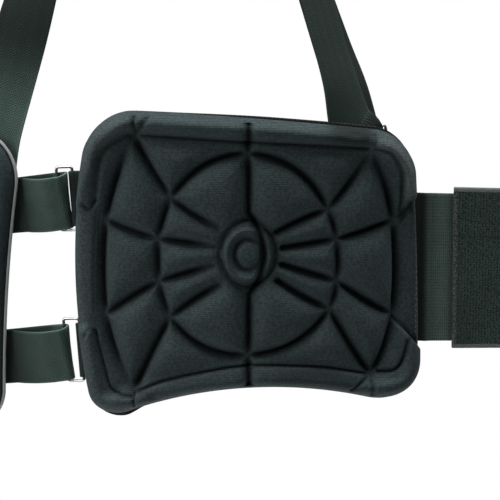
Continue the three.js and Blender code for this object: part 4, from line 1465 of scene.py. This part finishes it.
def adjuster_strap_path(which):
    """Path of a slack adjuster strap: out through its ring and folded back to the back pad."""
    reach = ADJUSTERS[which][2]
    loop = (-settings("webbing").ring_span + LOOP_INSETS[which], RING_LAYER + LOOP_RADIUS)
    inner = spline(
        [
            (-reach - SEWN_LENGTH, INNER_LAYER),
            (-reach, INNER_LAYER),
            (-reach / 2, RING_LAYER - INNER_DIP),
            (loop[0], RING_LAYER),
        ],
        PATH_STEPS,
    )
    outer = spline(
        [
            (loop[0], loop[1] + LOOP_RADIUS),
            *((-part * reach, level) for part, level in SLACK),
            (-SLACK_LANDING * reach, OUTER_LAYER),
            (-reach, OUTER_LAYER),
            (-reach - SEWN_LENGTH, OUTER_LAYER),
        ],
        PATH_STEPS,
    )
    return np.vstack([inner[:-1], half_turn(loop, LOOP_RADIUS, 1), outer[1:]])


def ring_tab_path():
    """Path of the short tab that holds a ring behind the side pad's back edge."""
    inner = [(RING_TAB_LENGTH, INNER_LAYER), (TAB_CLOSED, INNER_LAYER)]
    outer = [
        (TAB_NECK[0], OUTER_LAYER + TAB_NECK[1]),
        (TAB_CLOSED, OUTER_LAYER),
        (RING_TAB_LENGTH, OUTER_LAYER),
    ]
    return np.vstack([inner, half_turn((0, RING_LEVEL), TAB_TURN, -1), outer])


def ring_line(span, height, bend):
    """Rounded rectangle of wire: span along x back from nought, height along y."""
    points = []
    corners = ((1, 1, 0), (-1, 1, 1), (-1, -1, 2), (1, -1, 3))
    for x, y, quarter in corners:
        angle = (quarter + np.linspace(0, 1, BEND_STEPS + 1)) * math.pi / 2
        centre = np.array([(span / 2 - bend) * x - span / 2, (height / 2 - bend) * y])
        points.append(centre + bend * np.stack([np.cos(angle), np.sin(angle)], -1))
    return np.vstack(points)


def tube_mesh(name, places, outs, radius, sides):
    """A closed round bar: a torus whose turns are moved onto the places."""
    count = len(places)
    bpy.ops.object.select_all(action="DESELECT")
    bpy.ops.mesh.primitive_torus_add(
        major_segments=count, minor_segments=sides, major_radius=1, minor_radius=0.25
    )
    obj = newest(name)
    co = points_of(obj)
    turn = np.rint(np.arctan2(co[:, 1], co[:, 0]) / (2 * math.pi) * count).astype(int) % count
    round_bar = np.arctan2(co[:, 2], np.hypot(co[:, 0], co[:, 1]) - 1)
    along = unit(np.roll(places, -1, 0) - np.roll(places, 1, 0))
    out = unit(outs - along * np.einsum("ij,ij->i", outs, along)[:, None])
    side = np.cross(along, out)
    offset = np.cos(round_bar)[:, None] * side[turn] + np.sin(round_bar)[:, None] * out[turn]
    move_points(obj, places[turn] + radius * offset)
    lay_cloth(obj, np.stack([radius * round_bar, gone_along(places)[turn]], -1))
    in_edit_mode(obj, face_outwards)
    return obj


class RouteCurve:
    """Smooth curve through points, spaced by the square root of their distance."""

    def __init__(self, points):
        self.points = np.array(points, float)

    def at(self, t):
        """Point at a share of the curve's stretches."""
        points = self.points
        last = len(points) - 1
        k = min(int(last * t), last - 1)
        share = last * t - k
        p1, p2 = points[k], points[k + 1]
        p0 = points[k - 1] if k > 0 else 2 * points[0] - points[1]
        p3 = points[k + 2] if k + 2 <= last else 2 * points[last] - points[last - 1]
        d0, d1, d2 = (math.sqrt(np.linalg.norm(b - a)) for a, b in ((p0, p1), (p1, p2), (p2, p3)))
        start = ((p1 - p0) / d0 - (p2 - p0) / (d0 + d1) + (p2 - p1) / d1) * d1
        end = ((p2 - p1) / d1 - (p3 - p1) / (d1 + d2) + (p3 - p2) / d2) * d1
        bend = -3 * p1 + 3 * p2 - 2 * start - end
        rest = 2 * p1 - 2 * p2 + start + end
        return p1 + start * share + bend * share**2 + rest * share**3

    def heading(self, t):
        """Direction of the curve at a share of its stretches."""
        return unit(self.at(min(1, t + HEADING_STEP)) - self.at(max(0, t - HEADING_STEP)))


class ShoulderRoute:
    """Route of the right shoulder strap: a curve of points and a curve of the way that it faces."""

    def __init__(self):
        sewn = [wrap(s * MM, SHOULDER_SEWN_LEVEL, z * MM) for s, z in SHOULDER_SEWN]
        hub = [from_hub(forward, inward, z) for forward, inward, z, _ in SHOULDER_ROUTE]
        self.points = RouteCurve([*sewn, *hub])
        angles = [math.pi / 2 + s * MM / BACK_RADIUS for s, _ in SHOULDER_SEWN]
        angles += [row[3] * DEGREE + SIDE_FACING - math.pi / 2 for row in SHOULDER_ROUTE]
        self.angles = RouteCurve([(angle, 0) for angle in angles])
        self.end = self.frame(1)
        self.bar = self.end[0] + self.end[3] * BAR_CLEARANCE

    def frame(self, t):
        """Point, direction, width and outward way at a share of the route."""
        angle = self.angles.at(t)[0]
        along = self.points.heading(t)
        across = np.array([math.cos(angle), math.sin(angle), 0])
        across = unit(across - along * (across @ along))
        return self.points.at(t), along, across, np.cross(along, across)

    def strap(self):
        """Places and widths of the strap: over the shoulder, round the ring's bar and back."""
        shares = np.linspace(0, 1, ROUTE_STEPS + 1)
        frames = [self.frame(t) for t in shares]
        stations = [(point, across) for point, _, across, _ in frames]
        _, along, across, out = self.end
        for share in np.linspace(0, 1, BAR_STEPS + 1)[1:]:
            angle = math.pi * share
            turn = math.sin(angle) * along - math.cos(angle) * out
            stations.append((self.bar + BAR_CLEARANCE * turn + RETURN_SHIFT * share * across, across))
        gone = gone_along(np.array([point for point, _, _, _ in frames]))
        for part in np.linspace(0, 1, RETURN_STEPS + 1)[1:]:
            t = np.interp(gone[-1] - RETURN_LENGTH * part, gone, shares)
            point, _, across, out = self.frame(t)
            seated = blend(2 * BAR_CLEARANCE, RETURN_SEAT, part)
            lift = seated + RETURN_BULGE * math.sin(math.pi * part)
            early = math.sin(math.pi * part**RETURN_EARLY)
            swing = RETURN_SHIFT * (1 - part) + RETURN_SWING * early
            lean = RETURN_LEAN * early
            leaning = across * math.cos(lean) - out * math.sin(lean)
            stations.append((point + out * lift + across * swing, leaning))
        return stations

    def tab(self):
        """Places and widths of the tab that hangs the ring behind the side pad's top edge."""
        _, along, across, out = self.end
        bar = self.bar + along * settings("webbing").ring_span
        centre = bar - wrap(SIDE_MIDDLE, -SIDE_RADIUS, 0)
        u = (math.atan2(-centre[1], -centre[0]) - SIDE_FACING) * SIDE_FACE_RADIUS
        low = bar[2] - TAB_DROP
        wide = on_side(u + TANGENT_STEP, low, 0) - on_side(u - TANGENT_STEP, low, 0)

        def wall(level, height):
            """Station of the tab where it is sewn behind the pad."""
            return on_side(u, height, level - TAB_SAG), wide

        def leg(side):
            """Station of the tab on one side of the ring's bar."""
            return bar + out * side * BAR_CLEARANCE + along * TAB_LEG, across

        stations = [wall(INNER_LAYER, low), wall(INNER_LAYER, low + TAB_SEWN), leg(-1)]
        for angle in np.linspace(0, math.pi, BAR_STEPS + 1):
            turn = -math.cos(angle) * out - math.sin(angle) * along
            stations.append((bar + BAR_CLEARANCE * turn, across))
        return [*stations, leg(1), wall(OUTER_LAYER, low + TAB_SEWN), wall(OUTER_LAYER, low)]


def shoulder_band(name, stations):
    """A strap or tab along stations, with its points evenly spaced."""
    line = np.array([np.concatenate(station) for station in stations])
    gone = gone_along(line[:, :3])
    places = np.linspace(0, gone[-1], round(gone[-1] / settings("webbing").step) + 1)
    line = np.stack([np.interp(places, gone, column) for column in line.T], -1)
    return band_mesh(name, line[:, :3], line[:, 3:])


def on_belt(along, up, out):
    """Places on the belt, which falls a little towards its end."""
    return wrap(along, out, BELT_MIDDLE - BELT_FALL * (along - SIDE_FRONT_EDGE) + up)


def belt_mesh(name, start, end, level, height, thickness, fold):
    """One band of the belt, bent round the body line, with a low fold along its sewn end."""
    columns = round(height / BELT_COLUMN)
    rows = round((end - start) / BELT_ROW)
    obj, column, row = flat_grid(name, columns, rows)
    along = start + (end - start) * row / rows
    up = (column / columns - 0.5) * height
    move_points(obj, on_belt(along, up, level + fold * bell(along - FOLD_PLACE, FOLD_WIDTH)))
    lay_cloth(obj, np.stack([up + height / 2, along], -1))
    thicken(obj, thickness)
    return obj


def stitch_row(name, count, place):
    """A row of stitches: one stitch, repeated along a flat line and then put in place."""
    belt = settings("belt")
    bpy.ops.object.select_all(action="DESELECT")
    bpy.ops.mesh.primitive_uv_sphere_add(segments=6, ring_count=4, radius=0.5)
    obj = newest(name)
    thread = 2 * belt.stitch_radius
    move_points(obj, points_of(obj)[:, [0, 2, 1]] * (thread, belt.stitch, thread))
    in_edit_mode(obj, face_outwards)
    apply_modifier(
        obj,
        "ARRAY",
        count=count,
        use_relative_offset=False,
        use_constant_offset=True,
        constant_offset_displace=(0, belt.stitch_pitch, 0),
    )
    flat = points_of(obj) - (0, belt.stitch_pitch * (count - 1) / 2, 0)
    move_points(obj, place(*flat.T))
    in_edit_mode(obj, face_outwards)
    return obj


class PROTECTOR_OT_side_pads(bpy.types.Operator):
    """Moulds the two side pads with their web of grooves"""

    bl_idname = "protector.side_pads"
    bl_label = "Side Pads"

    def execute(self, context):
        cells = tuple(round(span / settings("pads").cell) for span in SIDE_SPANS)
        profile = edge_profile(SIDE_PAD_BASE)
        pad = pad_mesh("side_pad_right_cloth", PAD_CORNERS, cells, profile, on_pad, side_face)
        for piece in seat_pair(pad, "foam", finish_named("charcoal_knit", knit_finish), "side_pad"):
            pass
        return {"FINISHED"}


class PROTECTOR_OT_side_linings(bpy.types.Operator):
    """Lays the mesh lining behind each side pad"""

    bl_idname = "protector.side_linings"
    bl_label = "Side Linings"

    def execute(self, context):
        pads = settings("pads")
        columns, rows = LINING_CELLS
        sides = outline_sides(SIDE_CORNERS)
        u, v = closed_line(sides).T
        inset = -pads.lining_top * ease(v, *LINING_TOP_ZONE[0]) * ease(u, *LINING_TOP_ZONE[1])
        inset -= pads.lining_foot * ease(-v, *LINING_FOOT_ZONE[0]) * ease(-u, *LINING_FOOT_ZONE[1])
        sides = inset_sides(sides, inset[:, None])
        lining, column, row = flat_grid("side_backing_right_cloth", columns, rows)
        flat = fill_outline(sides, column / columns, row / rows)
        lay_cloth(lining, flat)
        move_points(lining, on_side(flat[:, 0], flat[:, 1], pads.lining / 2))
        thicken(lining, pads.lining)
        finish = finish_named("mesh_lining", lining_finish)
        for piece in seat_pair(lining, "backing", finish, "side_backing"):
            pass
        return {"FINISHED"}


class PROTECTOR_OT_back_pad(bpy.types.Operator):
    """Moulds the plain back pad"""

    bl_idname = "protector.back_pad"
    bl_label = "Back Pad"

    def execute(self, context):
        profile = edge_profile(0)
        pad = pad_mesh("back_pad_cloth", BACK_CORNERS, BACK_CELLS, profile, on_back, back_face)
        seat(pad, "foam", finish_named("charcoal_knit", knit_finish), "back_pad")
        return {"FINISHED"}


class PROTECTOR_OT_back_piping(bpy.types.Operator):
    """Runs the pale piping round the back pad"""

    bl_idname = "protector.back_piping"
    bl_label = "Back Piping"

    def execute(self, context):
        edge = closed_line(inset_sides(outline_sides(BACK_CORNERS), -PIPING_OFFSET))
        edge = even_line(np.vstack([edge, edge[:1]]), PIPING_STEP)[:-1]
        places = on_back(edge[:, 0], edge[:, 1], PIPING_LEVEL)
        outs = on_back(edge[:, 0], edge[:, 1], PIPING_LEVEL + TANGENT_STEP) - places
        piping = tube_mesh("back_piping_cord", places, outs, settings("webbing").piping, PIPING_SIDES)
        seat(piping, "piping", finish_named("pale_piping", piping_finish), "back_piping")
        return {"FINISHED"}


class PROTECTOR_OT_adjusters(bpy.types.Operator):
    """Threads the slack adjuster straps and their ring tabs"""

    bl_idname = "protector.adjusters"
    bl_label = "Adjuster Straps"

    def execute(self, context):
        finish = finish_named("olive_webbing", webbing_finish)
        for which in ADJUSTERS:
            strap = adjuster_band(
                f"adjuster_strap_{which}_right_cloth",
                which,
                adjuster_strap_path(which),
                ADJUSTER_SKEW,
                SLACK_LEAN,
                SLACK_SAG,
            )
            start = SLACK_TONE_STARTS[which]
            shade_band(strap, lambda along, length: self.tone(along / length, start))
            seat_pair(strap, "webbing", finish, f"adjuster_strap_{which}")
            tab = adjuster_band(f"ring_tab_{which}_right_cloth", which, ring_tab_path())
            shade_band(tab, self.tab_tone)
            seat_pair(tab, "webbing", finish, f"ring_tab_{which}")
        return {"FINISHED"}

    def tone(self, part, start):
        """Painted shade: the inner layer is dark, and the outer one darkens towards the back pad."""
        inner = 1 - ease(part, *INNER_SHARES)
        return np.maximum(INNER_TONE * inner, SLACK_TONE * ease(part, start, SLACK_TONE_END))

    def tab_tone(self, along, length):
        """The tabs lie in the shade between the straps and the pad."""
        return np.full(len(along), RING_TAB_TONE)


class PROTECTOR_OT_rings(bpy.types.Operator):
    """Bends the wire rings of the adjusters and the shoulder straps"""

    bl_idname = "protector.rings"
    bl_label = "Wire Rings"

    def execute(self, context):
        sizes = settings("webbing")
        finish = finish_named("plated_wire", wire_finish)
        line = ring_line(sizes.ring_span, sizes.ring_height, sizes.ring_bend)
        for which in ADJUSTERS:
            places = on_adjuster(which, line[:, 0], line[:, 1], RING_LEVEL)
            outs = on_adjuster(which, line[:, 0], line[:, 1], RING_LEVEL + TANGENT_STEP) - places
            ring = tube_mesh(f"adjuster_ring_{which}_right_wire", places, outs, sizes.wire, WIRE_SIDES)
            self.seat_rings(ring, finish, f"adjuster_ring_{which}")
        route = ShoulderRoute()
        _, along, across, out = route.end
        line = ring_line(sizes.ring_span, sizes.shoulder_ring, sizes.ring_bend)
        places = route.bar + along * (line[:, :1] + sizes.ring_span) + across * line[:, 1:]
        outs = np.broadcast_to(out, places.shape)
        ring = tube_mesh("shoulder_ring_right_wire", places, outs, sizes.wire, WIRE_SIDES)
        self.seat_rings(ring, finish, "shoulder_ring")
        return {"FINISHED"}

    def seat_rings(self, ring, finish, name):
        """Finishes one ring and its mirrored copy."""
        copy = mirrored_copy(ring, name + "_left_wire")
        seat(ring, "wire", finish, name + "_right")
        seat(copy, "wire", finish, name + "_left")


class PROTECTOR_OT_shoulders(bpy.types.Operator):
    """Lays the shoulder straps and the tabs of their rings"""

    bl_idname = "protector.shoulders"
    bl_label = "Shoulder Straps"

    def execute(self, context):
        finish = finish_named("olive_webbing", webbing_finish)
        route = ShoulderRoute()
        strap = shoulder_band("shoulder_strap_right_cloth", route.strap())
        shade_band(strap, self.tone)
        seat_pair(strap, "webbing", finish, "shoulder_strap")
        tab = shoulder_band("shoulder_tab_right_cloth", route.tab())
        seat_pair(tab, "webbing", finish, "shoulder_tab")
        return {"FINISHED"}

    def tone(self, along, length):
        """Painted shade: the strap is dark past its sewn end, darkest below its doubled end, and paler on
        that end.
        """
        past_turn = along - (length - RETURN_LENGTH - math.pi * BAR_CLEARANCE)
        rear = REAR_TONE * ease(along, *REAR_FADE)
        single = blend(rear, COVERED_TONE, ease(past_turn, *COVERED_FADE))
        doubled = blend(*DOUBLED_TONES, ease(past_turn, *DOUBLED_FADE))
        return blend(single, doubled, ease(past_turn, *DOUBLED_START))


class PROTECTOR_OT_belt(bpy.types.Operator):
    """Cuts the belt's elastic and its hook-and-loop patch"""

    bl_idname = "protector.belt"
    bl_label = "Belt"

    def execute(self, context):
        belt = settings("belt")
        elastic = belt_mesh(
            "belt_elastic_right_cloth",
            ELASTIC_START,
            PATCH_START + PATCH_LAP,
            ELASTIC_LEVEL,
            belt.elastic_height,
            belt.elastic_thickness,
            FOLD_RISE,
        )
        shade_band(elastic, self.tone)
        seat_pair(elastic, "elastic", finish_named("ribbed_elastic", elastic_finish), "belt_elastic")
        patch = belt_mesh(
            "belt_patch_right_cloth",
            PATCH_START,
            PATCH_START + PATCH_LENGTH,
            PATCH_LEVEL,
            belt.patch_height,
            belt.patch_thickness,
            0,
        )
        seat_pair(patch, "patch", finish_named("loop_tape", patch_finish), "belt_patch")
        return {"FINISHED"}

    def tone(self, along, length):
        """Painted shadow: the elastic is dark where it comes out from behind the side pad's edge."""
        past = along - SIDE_FRONT_EDGE
        return ELASTIC_TONE - sum(share * ease(past, start, end) for share, start, end in ELASTIC_FADES)


class PROTECTOR_OT_stitching(bpy.types.Operator):
    """Sews the seams of the belt patches and of the flanges in front of the side pads"""

    bl_idname = "protector.stitching"
    bl_label = "Stitching"

    def execute(self, context):
        belt = settings("belt")
        count = int((belt.patch_height - PATCH_SEAM_MARGIN) / belt.stitch_pitch)
        self.sew("patch_seam", count, self.on_patch, "patch")
        self.sew("flange_seam", FLANGE_STITCHES, self.on_flange, "foam")
        return {"FINISHED"}

    def sew(self, name, count, place, slot):
        """One seam and its mirrored copy."""
        finish = finish_named("seam_thread", thread_finish)
        row = stitch_row(name + "_right", count, place)
        copy = mirrored_copy(row, name + "_left")
        seat(row, slot, finish)
        seat(copy, slot, finish)

    def on_patch(self, x, y, z):
        """Places along the patch's sewn end."""
        belt = settings("belt")
        sway = PATCH_SEAM_SWAY * np.sin(math.pi * y / belt.stitch_pitch)
        level = PATCH_LEVEL + belt.patch_thickness / 2 + PATCH_SEAM_FLATNESS * z
        return on_belt(PATCH_START + PATCH_SEAM_INSET + x + sway, y, level)

    def on_flange(self, x, y, z):
        """Places along the flange, on the face of the side pad."""
        sway = FLANGE_SEAM_SWAY * np.sin(math.pi * y / settings("belt").stitch_pitch)
        flat = np.stack([FLANGE_SEAM_PLACE + sway + x, FLANGE_SEAM_MIDDLE + y], -1)
        height, _ = side_face(flat, closed_line(outline_sides(PAD_CORNERS)))
        return on_pad(flat[:, 0], flat[:, 1], height + FLANGE_SEAM_FLATNESS * z)


class PROTECTOR_OT_stage(bpy.types.Operator):
    """Sets the floor, the light and the camera of the picture"""

    bl_idname = "protector.stage"
    bl_label = "Stage"

    def execute(self, context):
        stage = settings("stage")
        bpy.ops.object.select_all(action="DESELECT")
        bpy.ops.mesh.primitive_circle_add(
            vertices=FLOOR_SIDES, radius=stage.floor_radius, fill_type="NGON"
        )
        floor = context.active_object
        floor.name = "studio_floor"
        move_points(floor, points_of(floor) - (0, 0, stage.floor_drop))
        floor.data.materials.append(finish_named("studio_floor", floor_finish))
        self.light(context, stage)
        self.aim(context, stage)
        return {"FINISHED"}

    def light(self, context, stage):
        """Broad light from above and from the left, edge lights on both sides, and fill from all round."""
        world = bpy.data.worlds.new("studio")
        world.use_nodes = True
        tree = world.node_tree
        fill = tree.nodes["Background"]
        fill.inputs["Color"].default_value = FILL_TINT
        fill.inputs["Strength"].default_value = stage.fill
        backdrop = tree.nodes.new("ShaderNodeBackground")
        backdrop.inputs["Color"].default_value = BACKDROP_TINT
        seen = tree.nodes.new("ShaderNodeLightPath").outputs["Is Camera Ray"]
        both = tree.nodes.new("ShaderNodeMixShader")
        tree.links.new(seen, both.inputs[0])
        tree.links.new(fill.outputs[0], both.inputs[1])
        tree.links.new(backdrop.outputs[0], both.inputs[2])
        tree.links.new(both.outputs[0], tree.nodes["World Output"].inputs["Surface"])
        context.scene.world = world
        context.scene.view_settings.view_transform = "Standard"
        for name, share, spread, turn, tilt in LIGHTS:
            bpy.ops.object.light_add(type="SUN", location=LIGHT_PLACE)
            sun = context.active_object
            sun.name = name
            sun.data.energy = stage.key * share
            sun.data.angle = spread * DEGREE
            source = self.way(stage.azimuth + turn * DEGREE, tilt * DEGREE)
            sun.rotation_euler = (-source).to_track_quat("-Z", "Y").to_euler()

    def way(self, azimuth, elevation):
        """Direction to a place round the protector."""
        flat = math.cos(elevation)
        return Vector((math.sin(azimuth) * flat, -math.cos(azimuth) * flat, math.sin(elevation)))

    def aim(self, context, stage):
        """Camera of the picture, aimed so that the hub lands where the picture has it."""
        way = self.way(stage.azimuth, stage.elevation)
        right = Vector((math.cos(stage.azimuth), math.sin(stage.azimuth), 0))
        up = way.cross(right)
        hub = Vector(wrap(SIDE_MIDDLE, HUB_LEVEL, 0))
        eye = hub + way * stage.distance
        target = hub + right * AIM_RIGHT + up * AIM_UP
        bpy.ops.object.camera_add(location=eye)
        camera = context.active_object
        camera.name = "picture_camera"
        camera.rotation_euler = (target - eye).to_track_quat("-Z", "Y").to_euler()
        camera.data.angle = stage.field
        camera.data.clip_end = CAMERA_FAR
        context.scene.camera = camera


class PROTECTOR_PT_panel(bpy.types.Panel):
    """Lists the steps that build the protector"""

    bl_idname = "PROTECTOR_PT_panel"
    bl_label = "Rib Protector"
    bl_space_type = "VIEW_3D"
    bl_region_type = "UI"
    bl_category = "Protector"

    def draw(self, context):
        for operator in OPERATORS:
            self.layout.operator(operator.bl_idname)


GROUPS = {
    "protector_pads": ProtectorPads,
    "protector_webbing": ProtectorWebbing,
    "protector_belt": ProtectorBelt,
    "protector_finishes": ProtectorFinishes,
    "protector_stage": ProtectorStage,
}
OPERATORS = (
    PROTECTOR_OT_side_pads,
    PROTECTOR_OT_side_linings,
    PROTECTOR_OT_back_pad,
    PROTECTOR_OT_back_piping,
    PROTECTOR_OT_adjusters,
    PROTECTOR_OT_rings,
    PROTECTOR_OT_shoulders,
    PROTECTOR_OT_belt,
    PROTECTOR_OT_stitching,
    PROTECTOR_OT_stage,
)


def register():
    """Registers the sizes, the steps and the panel."""
    for name, group in GROUPS.items():
        bpy.utils.register_class(group)
        setattr(bpy.types.Scene, name, PointerProperty(type=group))
    for operator in OPERATORS:
        bpy.utils.register_class(operator)
    bpy.utils.register_class(PROTECTOR_PT_panel)


def unregister():
    """Takes the panel, the steps and the sizes away again."""
    bpy.utils.unregister_class(PROTECTOR_PT_panel)
    for operator in reversed(OPERATORS):
        bpy.utils.unregister_class(operator)
    for name, group in reversed(GROUPS.items()):
        delattr(bpy.types.Scene, name)
        bpy.utils.unregister_class(group)


def main():
    """Builds the whole protector."""
    register()
    bpy.ops.protector.side_pads()
    bpy.ops.protector.side_linings()
    bpy.ops.protector.back_pad()
    bpy.ops.protector.back_piping()
    bpy.ops.protector.adjusters()
    bpy.ops.protector.rings()
    bpy.ops.protector.shoulders()
    bpy.ops.protector.belt()
    bpy.ops.protector.stitching()
    bpy.ops.protector.stage()


if __name__ == "__main__":
    main()
